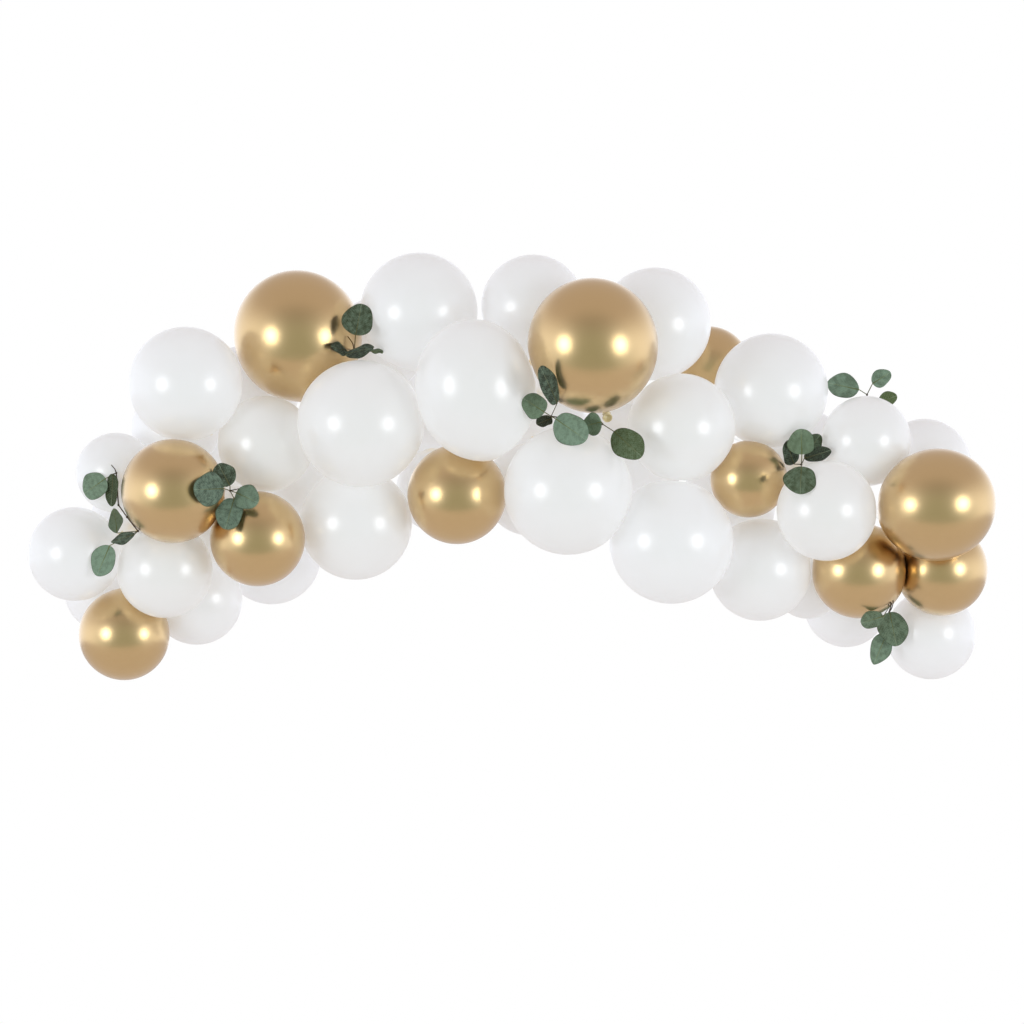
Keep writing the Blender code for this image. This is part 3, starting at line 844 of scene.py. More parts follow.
def tape_cell():
    """A square cell from -1 to 1 with a round hole: rings from the hole to the edge, columns round it."""
    step = np.arange(SIDE_STEPS) / SIDE_STEPS * 2.0 - 1.0
    one = np.ones(SIDE_STEPS)
    sides = ((one, step), (-step, one), (-one, -step), (step, -one))
    edge = np.concatenate([np.stack(side, axis=1) for side in sides])
    share = np.linspace(0.0, 1.0, PLASTIC_RINGS)[:, None, None]
    return edge, unit(edge), share


def tape(length, width):
    """Flat points (along, across) and quads of the whole tape, with shared points merged."""
    pitch = length / HOLES
    edge, circle, share = tape_cell()
    cell = circle * HOLE_RADIUS * (1.0 - share) + edge * np.array([pitch, width]) / 2.0 * share
    middles = (np.arange(HOLES) + 0.5) * pitch
    points = np.broadcast_to(cell, (HOLES, *cell.shape)).copy()
    points[..., 0] += middles[:, None, None]
    columns = len(edge)
    cell_quads = ring_faces(PLASTIC_RINGS, columns)[0]
    quads = (cell_quads + (np.arange(HOLES) * PLASTIC_RINGS * columns)[:, None, None]).reshape(-1, 4)
    whole = (points.reshape(-1, 2) * MERGE_PARTS).round().astype(np.int64)
    merged, number = np.unique(whole, axis=0, return_inverse=True)
    return merged / MERGE_PARTS, number.reshape(-1)[quads]


print("holes of", round(2000 * HOLE_RADIUS), "mm with", 4 * SIDE_STEPS, "corners")

# %% [markdown]
# The flat tape is laid along the arch by length. It gets its thickness from a second layer of the same
# faces, turned over, and a wall along every edge that has one face only.

# %% Tape along the arch
ARCH_STEPS = 801


def plate(top, bottom, quads):
    """A closed plate: the top, the bottom turned over, and a wall along every edge that has one face only."""
    edges = np.concatenate([quads[:, [k, (k + 1) % 4]] for k in range(4)])
    _, first, count = np.unique(np.sort(edges, axis=1), axis=0, return_index=True, return_counts=True)
    rim = edges[first[count == 1]]
    wall = np.stack([rim[:, 1], rim[:, 0], rim[:, 0] + len(top), rim[:, 1] + len(top)], axis=1)
    return np.concatenate([top, bottom]), np.concatenate([quads, quads[:, ::-1] + len(top), wall])


fine = np.linspace(-strip_reach, strip_reach, ARCH_STEPS)
fine_line = np.stack([fine, strip_height(fine)], axis=1)
fine_length = np.concatenate([[0.0], np.cumsum(np.linalg.norm(np.diff(fine_line, axis=0), axis=1))])
flat, quads = tape(fine_length[-1], strip_width)
place_x = np.interp(flat[:, 0], fine_length, fine)
slope = -np.where(np.abs(place_x) > crown_half, place_x, 0.0) / crown_radius
tape_top = np.stack([place_x, -flat[:, 1], strip_height(place_x)], axis=1)
tape_down = unit(np.stack([slope, 0.0 * slope, -np.ones_like(slope)], axis=1)) * STRIP_THICKNESS
points, faces = plate(tape_top, tape_top + tape_down, quads[:, ::-1])
print(HOLES, "holes in", round(fine_length[-1], 3), "m of tape")

# %% [markdown]
# The plastic is clear soft PVC, slightly frosted by the rolls that it comes off, so it is only partly
# see-through.

# %% Clear plastic tape
clear_plastic, tree, shader = principled("clear_plastic_tape")
set_values(
    shader,
    {"Base Color": linear("#eef2f3"), "Roughness": 0.3, "IOR": 1.5, "Transmission Weight": 0.6},
)
strip_mesh = bpy.data.meshes.new("perforated_strip")
strip_mesh.from_pydata(points, [], faces.tolist())
strip_mesh.materials.append(clear_plastic)
strip_piece = bpy.data.objects.new("perforated_strip", strip_mesh)
bpy.context.scene.collection.objects.link(strip_piece)
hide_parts("decorating_strip")
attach(strip_piece, "root")
print(len(faces), "faces, volume", round(signed_volume(strip_piece)[0] * 1e6, 1), "ml")

# %% [markdown]
# ## The eucalyptus sprigs
#
# Silver-dollar eucalyptus is sold for this: round, leathery leaves with a waxy bloom on thin woody twigs. A
# few twigs are pushed into the gaps, so their leaves lie on the balloons. A plant generator would give
# leaves anywhere, so here each leaf is listed one by one, as the photograph shows it.
#
# Every leaf below is a row: the fork that it grows from, where its base and its tip are from the root,
# right and up, its width, and how far it is turned over in degrees. Then come its looks: how pale it is (0
# is a dark old leaf, 1 a pale one with all its bloom), how olive, and how pointed. How pale a leaf is, is
# partly its own tone and partly painted shade: a leaf that lies in shadow is given a dark value. A bare twig
# end has its fork and its place. The root is given by its distance across and its height over the strip.
# The sprig that is marked behind is tucked in from the back.

# %% The sprigs
SPRIGS = {
    "eucalyptus_sprig_left": {
        "root": (-0.746, -0.016),
        "forks": ((0.0, 0.0), (-0.022, 0.028), (-0.040, 0.052), (-0.044, 0.116)),
        "ends": ((3, -0.010, 0.016),),
        "leaves": (
            (3, -0.065, 0.105, -0.110, 0.074, 0.054, 10.0, 0.75, 0.2, 0.95),
            (3, -0.050, 0.114, -0.054, 0.050, 0.030, 30.0, -0.1, 0.3, 1.0),
            (0, -0.043, -0.004, -0.048, 0.045, 0.042, 50.0, 1.0, 0.0, 1.5),
            (0, -0.057, -0.029, -0.083, -0.090, 0.048, 0.0, 0.95, 0.0, 1.05),
            (0, -0.006, -0.006, -0.054, -0.022, 0.044, -60.0, 0.2, 0.0, 1.5),
        ),
    },
    "eucalyptus_sprig_mid_left": {
        "root": (-0.562, -0.049),
        "forks": ((0.0, 0.0),),
        "ends": ((0, 0.018, 0.004),),
        "leaves": (
            (0, 0.000, 0.010, -0.024, 0.055, 0.044, 0.0, 0.15, 0.1, 0.95),
            (0, 0.008, -0.016, -0.010, -0.078, 0.054, 0.0, 0.55, 0.0, 0.95),
            (0, 0.012, -0.004, 0.056, -0.024, 0.050, 0.0, 0.72, 0.05, 0.95),
            (0, -0.012, 0.004, -0.074, 0.002, 0.066, 0.0, 0.42, 0.0, 1.0),
        ),
    },
    "eucalyptus_sprig_top_left": {
        "root": (-0.315, 0.128),
        "forks": ((0.0, 0.0),),
        "ends": ((0, -0.013, 0.029),),
        "leaves": (
            (0, 0.033, -0.001, 0.057, 0.002, 0.024, 60.0, 0.25, 0.5, 1.0),
            (0, -0.013, -0.001, -0.045, 0.010, 0.042, 60.0, 0.05, 0.1, 1.0),
            (0, -0.017, -0.007, 0.039, 0.009, 0.050, 63.0, 0.1, 0.0, 1.4),
            (0, 0.003, 0.031, 0.015, 0.094, 0.062, 0.0, 0.18, 0.2, 1.0),
        ),
    },
    "eucalyptus_sprig_centre": {
        "root": (0.078, -0.047),
        "forks": ((0.0, 0.0), (0.102, -0.015)),
        "ends": (),
        "leaves": (
            (0, 0.012, 0.026, -0.020, 0.098, 0.046, 40.0, 0.12, 0.0, 0.9),
            (0, 0.002, -0.004, -0.029, -0.017, 0.040, 50.0, -0.1, 0.0, 1.3),
            (1, 0.100, -0.011, 0.064, -0.020, 0.044, 0.0, 0.7, 0.35, 0.95),
            (1, 0.125, -0.030, 0.182, -0.082, 0.058, 0.0, 0.4, 0.6, 1.05),
            (0, -0.013, 0.008, -0.056, 0.036, 0.050, 0.0, 0.72, 0.35, 0.95),
            (0, 0.009, -0.005, 0.069, -0.047, 0.062, 0.0, 0.9, 0.0, 0.95),
        ),
    },
    "eucalyptus_sprig_right_top": {
        "root": (0.710, 0.212),
        "forks": ((0.0, 0.0), (0.0, 0.020)),
        "behind": True,
        "ends": (),
        "leaves": (
            (1, -0.016, 0.030, -0.080, 0.044, 0.050, 0.0, 0.7, 0.1, 1.3),
            (1, 0.011, 0.042, 0.047, 0.065, 0.034, 0.0, 0.75, 0.1, 1.0),
            (0, 0.024, 0.004, 0.060, 0.018, 0.030, 0.0, 0.3, 0.9, 1.0),
        ),
    },
    "eucalyptus_sprig_right": {
        "root": (0.578, 0.012),
        "forks": ((0.0, 0.0),),
        "ends": (),
        "leaves": (
            (0, -0.015, 0.001, -0.030, 0.048, 0.040, 25.0, 0.05, 0.0, 1.0),
            (0, 0.010, 0.020, 0.038, 0.060, 0.034, 0.0, 0.3, 0.3, 0.95),
            (0, 0.006, 0.012, 0.060, 0.030, 0.030, 20.0, -0.1, 0.0, 0.95),
            (0, 0.001, 0.020, -0.001, 0.071, 0.055, 0.0, 0.75, 0.4, 0.95),
            (0, -0.001, -0.004, -0.004, -0.058, 0.066, 0.0, 0.25, 0.3, 1.1),
        ),
    },
    "eucalyptus_sprig_low_right": {
        "root": (0.758, -0.153),
        "forks": ((0.0, 0.0), (-0.004, -0.020)),
        "ends": ((1, 0.008, 0.028),),
        "leaves": (
            (0, -0.016, -0.025, -0.062, -0.039, 0.036, 0.0, 0.5, 0.3, 1.0),
            (1, -0.007, -0.058, -0.034, -0.122, 0.042, 0.0, 0.75, 0.1, 1.35),
            (1, -0.002, -0.017, 0.012, -0.085, 0.058, 0.0, 0.5, 0.2, 0.95),
        ),
    },
}
print(sum(len(plan["leaves"]) for plan in SPRIGS.values()), "leaves on", len(SPRIGS), "sprigs")

# %% [markdown]
# ## Where a sprig lies
#
# A ray from the front, or from the back for the sprig that is tucked behind, finds how deep the balloons
# are at a place. That is measured on two search trees: one of the solids, where the leaves' own solids were
# laid, and one of the finished skins, which the finished leaves have to clear.

# %% What a sprig leans on
LEAF_THICKNESS = 0.0008
LEAF_CLEARANCE = 0.0025
LEAF_LEAN = 0.6
TWIG_REACH = 0.004
FORK_DEPTH = 0.015
ROOT_MOST = 0.20
LEAF_DEEPEST = 0.02
SLIDES_MOST = 60
MIDRIB_SHARE = 0.35
TWIG_RADIUS = 0.0012
FAR_AWAY = 1.0


def search_tree(meshes):
    """A search tree of the triangles of meshes."""
    corners, triangles, first = [], [], 0
    for mesh in meshes:
        mesh_corners, mesh_triangles = mesh_arrays(mesh)
        corners.append(mesh_corners)
        triangles.append(mesh_triangles + first)
        first += len(mesh_corners)
    return BVHTree.FromPolygons(np.concatenate(corners).tolist(), np.concatenate(triangles).tolist())


def surface_depth(point, tree, sign):
    """Depth of the first surface at a point's place, seen from outside, or None where it is free."""
    hit = tree.ray_cast(Vector((point[0], sign * FAR_AWAY, point[2])), Vector((0.0, -sign, 0.0)))[0]
    return hit.y if hit is not None else None


def slide_needed(points, tree, sign, clearance):
    """How far points must slide in depth so that all of them clear the surfaces, or 0 over free places."""
    depths = [surface_depth(point, tree, sign) for point in points]
    over = [(point, depth) for point, depth in zip(points, depths) if depth is not None]
    needs = [sign * (depth - point[1]) + clearance for point, depth in over]
    return sign * max(needs) if needs else 0.0


solid_tree = search_tree([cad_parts[name].data for name in node_names if "sprig" not in name])
skin_tree = search_tree([bpy.data.objects[balloon["name"] + "_skin"].data for balloon in balloons])
print("front of the garland over the crown:", round(surface_depth((0.0, 0.0, 0.1), skin_tree, -1.0), 3), "m")


# %% [markdown]
# A leaf's base and tip are known in the picture's plane. It leans with the surface behind it, then slides
# outwards until its outline clears it.

# %% Where a leaf lies
def place_leaf(row, root, depth, sign):
    """A leaf's base, its way to the tip, its unit ways across and out of the blade, and its looks."""
    # The leaf's paleness is partly its own tone and partly painted shade for a leaf that lies in shadow
    fork, base_right, base_up, tip_right, tip_up, width, tilt, tone_and_shade, olive, point = row
    base = root + np.array([base_right, 0.0, base_up])
    tip = root + np.array([tip_right, 0.0, tip_up])
    base[1] = tip[1] = depth
    behind_base, behind_tip = surface_depth(base, solid_tree, sign), surface_depth(tip, solid_tree, sign)
    if behind_base is not None and behind_tip is not None:
        most = LEAF_LEAN * np.linalg.norm(tip - base)
        tip[1] += np.clip(behind_tip - behind_base, -most, most)
    along = tip - base
    level = unit(np.array([-along[2], 0.0, along[0]]))
    angle = math.radians(tilt)
    turned = level * math.cos(angle) + unit(np.cross(along, level)) * math.sin(angle)
    leaf = {"fork": fork, "width": width, "tone_and_shade": tone_and_shade, "olive": olive, "point": point}
    leaf |= {"base": base, "along": along, "across": turned, "normal": unit(np.cross(along, turned))}
    samples = np.concatenate([leaf_outline(leaf, share) for share in (1.0, 0.7, 0.4, 0.0)])
    leaf["base"][1] += slide_needed(samples, solid_tree, sign, LEAF_CLEARANCE)
    return leaf


def leaf_outline(leaf, share):
    """Twenty points round a flat leaf, shrunk towards its middle."""
    turn = np.arange(10) * math.pi / 5.0
    along = (1.0 - np.cos(turn)) / 2.0
    side = -leaf["width"] / 2.0 * np.sin(turn) * (1.0 + 0.1 * np.cos(turn))
    corners = leaf["base"] + along[:, None] * leaf["along"] + side[:, None] * leaf["across"]
    rim = np.concatenate([corners, (corners + np.roll(corners, 1, axis=0)) / 2.0])
    middle = corners.mean(axis=0)
    return middle + (rim - middle) * share


print("leaves lie at least", 1000 * LEAF_CLEARANCE, "mm off the solids")

# %% [markdown]
# A stalk or a bare twig hangs straight between its ends, except where a balloon is in the way, and the
# root's end is pushed in until it touches one.

# %% Where a stalk hangs
def around(point):
    """A point and eight more around it in the picture's plane."""
    turn = np.arange(8) * math.pi / 4.0
    ring = np.stack([np.cos(turn), 0.0 * turn, np.sin(turn)], axis=1) * TWIG_REACH
    return np.concatenate([point[None], point + ring])


def draped(start, end, sign):
    """Four points from start to end, the middle ones slid outwards where they come too near a balloon."""
    points = [start + (end - start) * step / 3.0 for step in range(4)]
    for point in points[1:-1]:
        slide = slide_needed(around(point), solid_tree, sign, LEAF_CLEARANCE)
        if slide * sign > 0.0:
            point[1] += slide
    return np.array(points)


def root_end(start, way):
    """Where a twig that is pushed in along a way first touches a balloon."""
    length, room = 0.0, 1.0
    while room > 1e-5 and length < ROOT_MOST:
        room = skin_tree.find_nearest(Vector(start + way * length))[3] - TWIG_RADIUS - CONTACT_GAP
        length += max(room, 0.0)
    return start + way * length


print("round a point,", len(around(np.zeros(3))), "places are looked at")

# %% [markdown]
# Every twig and stalk is a rod: rings of points that are carried along a line.

# %% Rods
def rod_rings(points, radius, sides):
    """Rings of a tube along points. The ring's frame is carried on from point to point and never twists."""
    steps = unit(np.diff(points, axis=0))
    ways = unit(np.concatenate([steps[:1], steps[1:] + steps[:-1], steps[-1:]]))
    turn = np.arange(sides) * 2.0 * math.pi / sides
    side, rings = across(ways[0])[0], []
    for point, way, size in zip(points, ways, np.broadcast_to(radius, len(points))):
        side = unit(side - way * (side @ way))
        circle = np.cos(turn)[:, None] * side + np.sin(turn)[:, None] * np.cross(way, side)
        rings.append(point + size * circle)
    return np.array(rings)


def tree_of_rings(rings):
    """A search tree of one closed skin."""
    quads, first_cap, last_cap = ring_faces(*rings.shape[:2])
    faces = [*quads.tolist(), first_cap.tolist(), last_cap.tolist()]
    return BVHTree.FromPolygons(rings.reshape(-1, 3).tolist(), faces)


print("a rod's rings:", rod_rings(np.eye(3), 0.1, 8).shape)

# %% [markdown]
# Leaves that would cross slide a little farther out, one after the other, as they do when a twig is pushed
# in. To find out whether they cross, each leaf is a flat plate of ten corners on each side for a moment,
# and each stalk a three-sided rod. Only their places are kept.

# %% Leaves that slide off each other
def stalk_line(leaf, fork, sign):
    """The line of a leaf's stalk from its fork, and on into the blade as the midrib."""
    line = draped(fork, leaf["base"], sign)
    return np.concatenate([line, [leaf["base"] + leaf["along"] * MIDRIB_SHARE]])


def stack_leaves(leaves, forks, twigs, sign):
    """Slide each leaf outwards until neither it nor its stalk crosses a twig or a leaf before it."""
    blades = []
    stalks = [tree_of_rings(rod_rings(line, TWIG_RADIUS, 3)) for line in twigs]
    for leaf in leaves:
        half = leaf["normal"] * LEAF_THICKNESS / 2.0
        for _ in range(SLIDES_MOST):
            outline = leaf_outline(leaf, 1.0)[:10]
            blade = tree_of_rings(np.stack([outline - half, outline + half]))
            stalk = tree_of_rings(rod_rings(stalk_line(leaf, forks[leaf["fork"]], sign), TWIG_RADIUS, 3))
            blade_crosses = any(map(blade.overlap, blades + stalks))
            if not blade_crosses and not any(map(stalk.overlap, blades)):
                break
            leaf["base"][1] += sign * LEAF_CLEARANCE
        blades.append(blade)
        stalks.append(stalk)


print("a leaf slides", 1000 * LEAF_CLEARANCE, "mm at a time")

# %% [markdown]
# Last, a sprig holds together: no leaf lies far behind the middle of its sprig, and each fork comes as far
# out as its leaves need.

# %% Place every sprig
def place_sprig(plan):
    """The forks and leaves of one sprig, all in their places."""
    sign = 1.0 if plan.get("behind") else -1.0
    right, up = plan["root"]
    root = np.array([right, 0.0, float(strip_height(right)) + up])
    forks = [root + np.array([step_right, 0.0, step_up]) for step_right, step_up in plan["forks"]]
    for fork in forks:
        fork[1] += slide_needed(around(fork), solid_tree, sign, LEAF_CLEARANCE)
    leaves = [place_leaf(row, root, forks[row[0]][1], sign) for row in plan["leaves"]]
    middle = sign * sum(leaf["base"][1] for leaf in leaves) / len(leaves)
    for leaf in leaves:
        leaf["base"][1] += sign * max(0.0, middle - LEAF_DEEPEST - sign * leaf["base"][1])
    for number, fork in enumerate(forks):
        depths = [leaf["base"][1] for leaf in leaves if leaf["fork"] == number]
        if depths:
            fork[1] = sign * max(sign * fork[1], sign * sum(depths) / len(depths) - FORK_DEPTH)
    twigs = [draped(*pair, sign) for pair in zip(forks, forks[1:])]
    stack_leaves(leaves, forks, twigs, sign)
    return {"sign": sign, "forks": forks, "leaves": leaves, "twigs": twigs}


places = {name: place_sprig(plan) for name, plan in SPRIGS.items()}
front_leaf = min(leaf["base"][1] for place in places.values() for leaf in place["leaves"])
print("the leaf nearest to the camera starts at", round(front_leaf, 3), "m")

# %% [markdown]
# ## The leaf
#
# The blade is a tube that is pressed flat. Its two parameters are the place along the midrib and the turn
# round the section. Along the midrib it bends back towards the tip. Across, it is a little cupped, and its
# rim waves, as a drying leaf's does: offset = bend * s² + cup * side² + wave * sin(turns * s + start) *
# side⁴. No two leaves are alike, so bend, cup, wave and outline differ from leaf to leaf by its number.

# %% Leaf surface
LEAF_RINGS = 26
LEAF_COLUMNS = 36
LEAF_BEND = 0.0040
LEAF_CUP = 0.0022
LEAF_WAVE = 0.0016
LEAF_UNEVEN = 0.09
# How far the waves of the outline and of the rim turn from a leaf's base to its tip, in radians
OUTLINE_TURN = 5.5
RIM_TURN = 9.0
# Where the first and the last ring lie, as shares of the half turn from base to tip
FIRST_RING = 0.035
LAST_RING = 0.985
SKIN_CLEARANCE = 0.0010
GOLDEN_SHARE = 0.618034


def leaf_points(leaf, share, side):
    """Points in a leaf's middle plane at a share of its length and at a side from -1 to 1, bent and waved."""
    start = leaf["number"] * GOLDEN_SHARE % 1.0
    steep = np.sqrt(np.clip(share * (1.0 - share), 0.0, 1.0)) * 2.0
    half = leaf["width"] / 2.0 * steep ** leaf["point"] * (1.0 + 0.1 * (1.0 - 2.0 * share))
    half = half * (1.0 + LEAF_UNEVEN * np.sin(OUTLINE_TURN * share + 9.0 * start + 2.1 * np.sign(side)))
    bend = (start - 0.45) * 2.0 * LEAF_BEND * share**2
    cup = LEAF_CUP * (1.0 - 1.6 * (leaf["number"] * 0.37 % 1.0)) * side**2 * steep
    wave = LEAF_WAVE * np.sin(RIM_TURN * share + 6.3 * start) * np.sign(side) * side**4 * steep
    offset = bend + cup + wave
    flat = leaf["base"] + share[..., None] * leaf["along"] + (side * half)[..., None] * leaf["across"]
    return flat + offset[..., None] * leaf["normal"], side * half


def leaf_skin(leaf):
    """Rings of a leaf blade, and its values: distance along, distance across and side at each point."""
    ring = np.linspace(FIRST_RING * math.pi, LAST_RING * math.pi, LEAF_RINGS)
    turn = np.arange(LEAF_COLUMNS) * 2.0 * math.pi / LEAF_COLUMNS
    share = np.broadcast_to(((1.0 - np.cos(ring)) / 2.0)[:, None], (LEAF_RINGS, LEAF_COLUMNS))
    side = np.broadcast_to(np.cos(turn)[None], (LEAF_RINGS, LEAF_COLUMNS))
    middle, distance_across = leaf_points(leaf, share, side)
    thick = LEAF_THICKNESS / 2.0 * np.sin(turn) * np.sqrt(np.sin(ring))[:, None]
    length = np.linalg.norm(leaf["along"])
    return middle + thick[..., None] * leaf["normal"], share * length, distance_across, side


def clear_skins(leaf, sign):
    """Slide a finished leaf outwards where its bent blade would come too near a round balloon."""
    points = leaf_skin(leaf)[0][::3, ::3].reshape(-1, 3)
    leaf["base"][1] += sign * max(0.0, sign * slide_needed(points, skin_tree, sign, SKIN_CLEARANCE))


number = 0
for place in places.values():
    for leaf in place["leaves"]:
        leaf["number"] = number
        clear_skins(leaf, place["sign"])
        number += 1
print(number, "leaves bent and cleared")

# %% [markdown]
# ## Twigs and stalks
#
# A twig is a smooth curve through its few placed points. Where it comes too near a round balloon it is
# lifted off, and its lifted part is evened out, as a springy twig would do by itself.

# %% Smooth curves
CURVE_STEPS = 8


def curve(points):
    """A smooth curve through points, eight steps for each stretch.

    Each stretch is a cubic. Its way at a point is half the way from the point before to the point after.
    """
    before = np.concatenate([[2.0 * points[0] - points[1]], points[:-2]])
    after = np.concatenate([points[2:], [2.0 * points[-1] - points[-2]]])
    share = (np.arange(CURVE_STEPS) / CURVE_STEPS)[None, :, None]
    start, end = points[:-1, None], points[1:, None]
    in_way, out_way = (end - before[:, None]) / 2.0, (after[:, None] - start) / 2.0
    line = (
        start * (2.0 * share**3 - 3.0 * share**2 + 1.0)
        + in_way * (share**3 - 2.0 * share**2 + share)
        + end * (3.0 * share**2 - 2.0 * share**3)
        + out_way * (share**3 - share**2)
    )
    return np.concatenate([line.reshape(-1, 3), points[-1:]])


def lifted(line, sign, clearance):
    """A curve whose inner points are slid outwards where they come too near a round balloon, then evened."""
    line = line.copy()
    for point in line[1:-1]:
        point[1] += sign * max(0.0, sign * slide_needed(point[None], skin_tree, sign, clearance))
    for _ in range(3):
        even = (line[:-2, 1] + 2.0 * line[1:-1, 1] + line[2:, 1]) / 4.0
        line[1:-1, 1] = sign * np.maximum(sign * line[1:-1, 1], sign * even)
    return line


print("curves of", CURVE_STEPS, "steps for each stretch")

# %% [markdown]
# Each leaf's stalk runs from the fork to the blade and on along its front as the midrib, ever thinner. It
# is a dull wood colour at the fork and green at the blade, and greener on a paler leaf: on a leaf in painted
# shade the stalk is painted darker too.

# %% Stalks
STALK_RADIUS = 0.0009
STALK_COLUMNS = 8
MIDRIB_STEPS = 14
MIDRIB_START = 0.04
MIDRIB_END = 0.8
MIDRIB_TIP_RADIUS = 0.0003


def stalk_skin(leaf, fork, sign):
    """Rings of a leaf's stalk and midrib, and how green it is along them."""
    stalk = lifted(curve(draped(fork, leaf["base"], sign)), sign, SKIN_CLEARANCE + STALK_RADIUS)
    share = np.linspace(MIDRIB_START, MIDRIB_END, MIDRIB_STEPS)
    rib = leaf_points(leaf, share, 0.0 * share)[0] + leaf["normal"] * LEAF_THICKNESS * 0.25
    line = np.concatenate([stalk, rib])
    rib_radius = np.linspace(STALK_RADIUS, MIDRIB_TIP_RADIUS, MIDRIB_STEPS)
    radius = np.concatenate([np.full(len(stalk), STALK_RADIUS), rib_radius])
    rings = rod_rings(line, radius, STALK_COLUMNS)
    # The stalk is painted darker on a darker leaf, so it carries the painted shade of a shaded leaf as well
    green = np.linspace(0.25, 1.0, len(line)) * (0.35 + 0.65 * max(leaf["tone_and_shade"], 0.0))
    return rings, np.repeat(green[:, None], STALK_COLUMNS, axis=1)


print("stalks", round(2000 * STALK_RADIUS, 1), "mm thick")

# %% [markdown]
# The woody parts are the twigs between forks, the bare ends and the end that is pushed in between the
# balloons. They taper, and a small round bud sits at each fork.

# %% Twigs and buds
BUD_RADIUS = 0.0022
THICK_RADIUS = 0.0013
ROOT_RADIUS = 0.0015
TIP_RADIUS = 0.0009
WOOD_COLUMNS = 10
# How far a bare end stands out from its fork, and how far it bows to the side, as a share of its height
END_OUT = 0.002
END_BOW = 0.12


def twig_skin(points, start_radius, end_radius):
    """Rings of a woody twig that tapers."""
    return rod_rings(points, np.linspace(start_radius, end_radius, len(points)), WOOD_COLUMNS)


def bud_skin(point):
    """Rings of a small bud: a round swelling, a little longer than wide, along the height."""
    turn = np.linspace(0.08 * math.pi, 0.92 * math.pi, 7)
    line = point + np.stack([0.0 * turn, 0.0 * turn, -1.2 * BUD_RADIUS * np.cos(turn)], axis=1)
    return rod_rings(line, BUD_RADIUS * np.sin(turn), WOOD_COLUMNS)


def wood_skins(plan, place):
    """The skins of one sprig's twigs, bare ends, buds and the end that is pushed in."""
    forks, sign = place["forks"], place["sign"]
    clearance = SKIN_CLEARANCE + TWIG_RADIUS
    lines = [lifted(curve(twig), sign, clearance) for twig in place["twigs"]]
    skins = [twig_skin(line, THICK_RADIUS, TWIG_RADIUS) for line in lines]
    for fork, right, up in plan["ends"]:
        end = forks[fork] + np.array([right, END_OUT * sign, up])
        middle = (forks[fork] + end) / 2.0 + np.array([END_BOW * up, END_OUT / 2.0 * sign, 0.0])
        line = lifted(curve(np.array([forks[fork], middle, end])), sign, clearance)
        skins.append(twig_skin(line, TWIG_RADIUS, TIP_RADIUS))
    end = root_end(forks[0], np.array([0.0, -sign, 0.0]))
    skins.append(twig_skin(np.linspace(forks[0], end, 9), TWIG_RADIUS, ROOT_RADIUS))
    return skins + [bud_skin(fork) for fork in forks]


print("buds", round(2000 * BUD_RADIUS, 1), "mm wide")

# %% [markdown]
# ## The leaf's veins
#
# A eucalyptus leaf has a midrib, side veins that leave it at 45 degrees, and a fine net between them, all
# paler than the blade. An image could show them, but here they are drawn from the real distances along and
# across the blade, which the mesh carries as values at its points. Side veins lie where the distance along,
# less the distance from the midrib, is a whole number of steps. The net is the edges of small random cells.

# %% Veins of the leaf
SIDE_VEIN_PITCH = 0.006
# A real net has cells of under 1 mm, too fine to show here, so it is drawn coarser
NET_CELL = 0.0028
SMOOTHLY = {"interpolation_type": "SMOOTHSTEP"}

leaf_material, tree, shader = principled("eucalyptus_leaf")
leaf_value = {}
for label in ("along", "across", "side", "leaf", "tone_and_shade", "olive"):
    leaf_value[label] = node(tree, "ShaderNodeAttribute", {"attribute_name": label}).outputs["Fac"]
away = node(tree, "ShaderNodeMath", {"operation": "ABSOLUTE"}, {0: leaf_value["across"]})
midrib = node(
    tree,
    "ShaderNodeMapRange",
    {**SMOOTHLY, "From Min": 0.0003, "From Max": 0.0011, "To Min": 1.0, "To Max": 0.0},
    {"Value": away.outputs["Value"]},
)
slanted = node(
    tree,
    "ShaderNodeMath",
    {"operation": "SUBTRACT"},
    {0: leaf_value["along"], 1: away.outputs["Value"]},
)
repeated = node(
    tree,
    "ShaderNodeMath",
    {"operation": "PINGPONG", 1: SIDE_VEIN_PITCH / 2.0},
    {0: slanted.outputs["Value"]},
)
side_vein = node(
    tree,
    "ShaderNodeMapRange",
    {**SMOOTHLY, "From Min": 0.0, "From Max": 0.0006, "To Min": 0.7, "To Max": 0.0},
    {"Value": repeated.outputs["Value"]},
)
flat_place = node(
    tree,
    "ShaderNodeCombineXYZ",
    links={"X": leaf_value["along"], "Y": leaf_value["across"], "Z": leaf_value["leaf"]},
)
net = node(
    tree,
    "ShaderNodeTexVoronoi",
    {"feature": "DISTANCE_TO_EDGE", "Scale": 1.0 / NET_CELL},
    {"Vector": flat_place.outputs["Vector"]},
)
net_vein = node(
    tree,
    "ShaderNodeMapRange",
    {**SMOOTHLY, "From Min": 0.0, "From Max": 0.16, "To Min": 0.45, "To Max": 0.0},
    {"Value": net.outputs["Distance"]},
)
large_veins = node(
    tree,
    "ShaderNodeMath",
    {"operation": "MAXIMUM"},
    {0: midrib.outputs["Result"], 1: side_vein.outputs["Result"]},
)
veins = node(
    tree,
    "ShaderNodeMath",
    {"operation": "MAXIMUM"},
    {0: large_veins.outputs["Value"], 1: net_vein.outputs["Result"]},
)
print("side veins every", round(1000 * SIDE_VEIN_PITCH, 1), "mm")

# %% [markdown]
# ## The leaf's colour
#
# The blade goes from dark green to the pale sage of its waxy bloom, which is rubbed off in patches. How far
# a blade goes towards dark green is partly its own tone and partly painted shade, for leaves that lie in
# shadow. Some leaves are more olive. The veins are paler, and the rim is thin, dry and dark. The wax makes
# the leaf nearly matt.

# %% Eucalyptus leaf
# Patches of bloom in each metre
BLOOM_PATCHES = 110.0

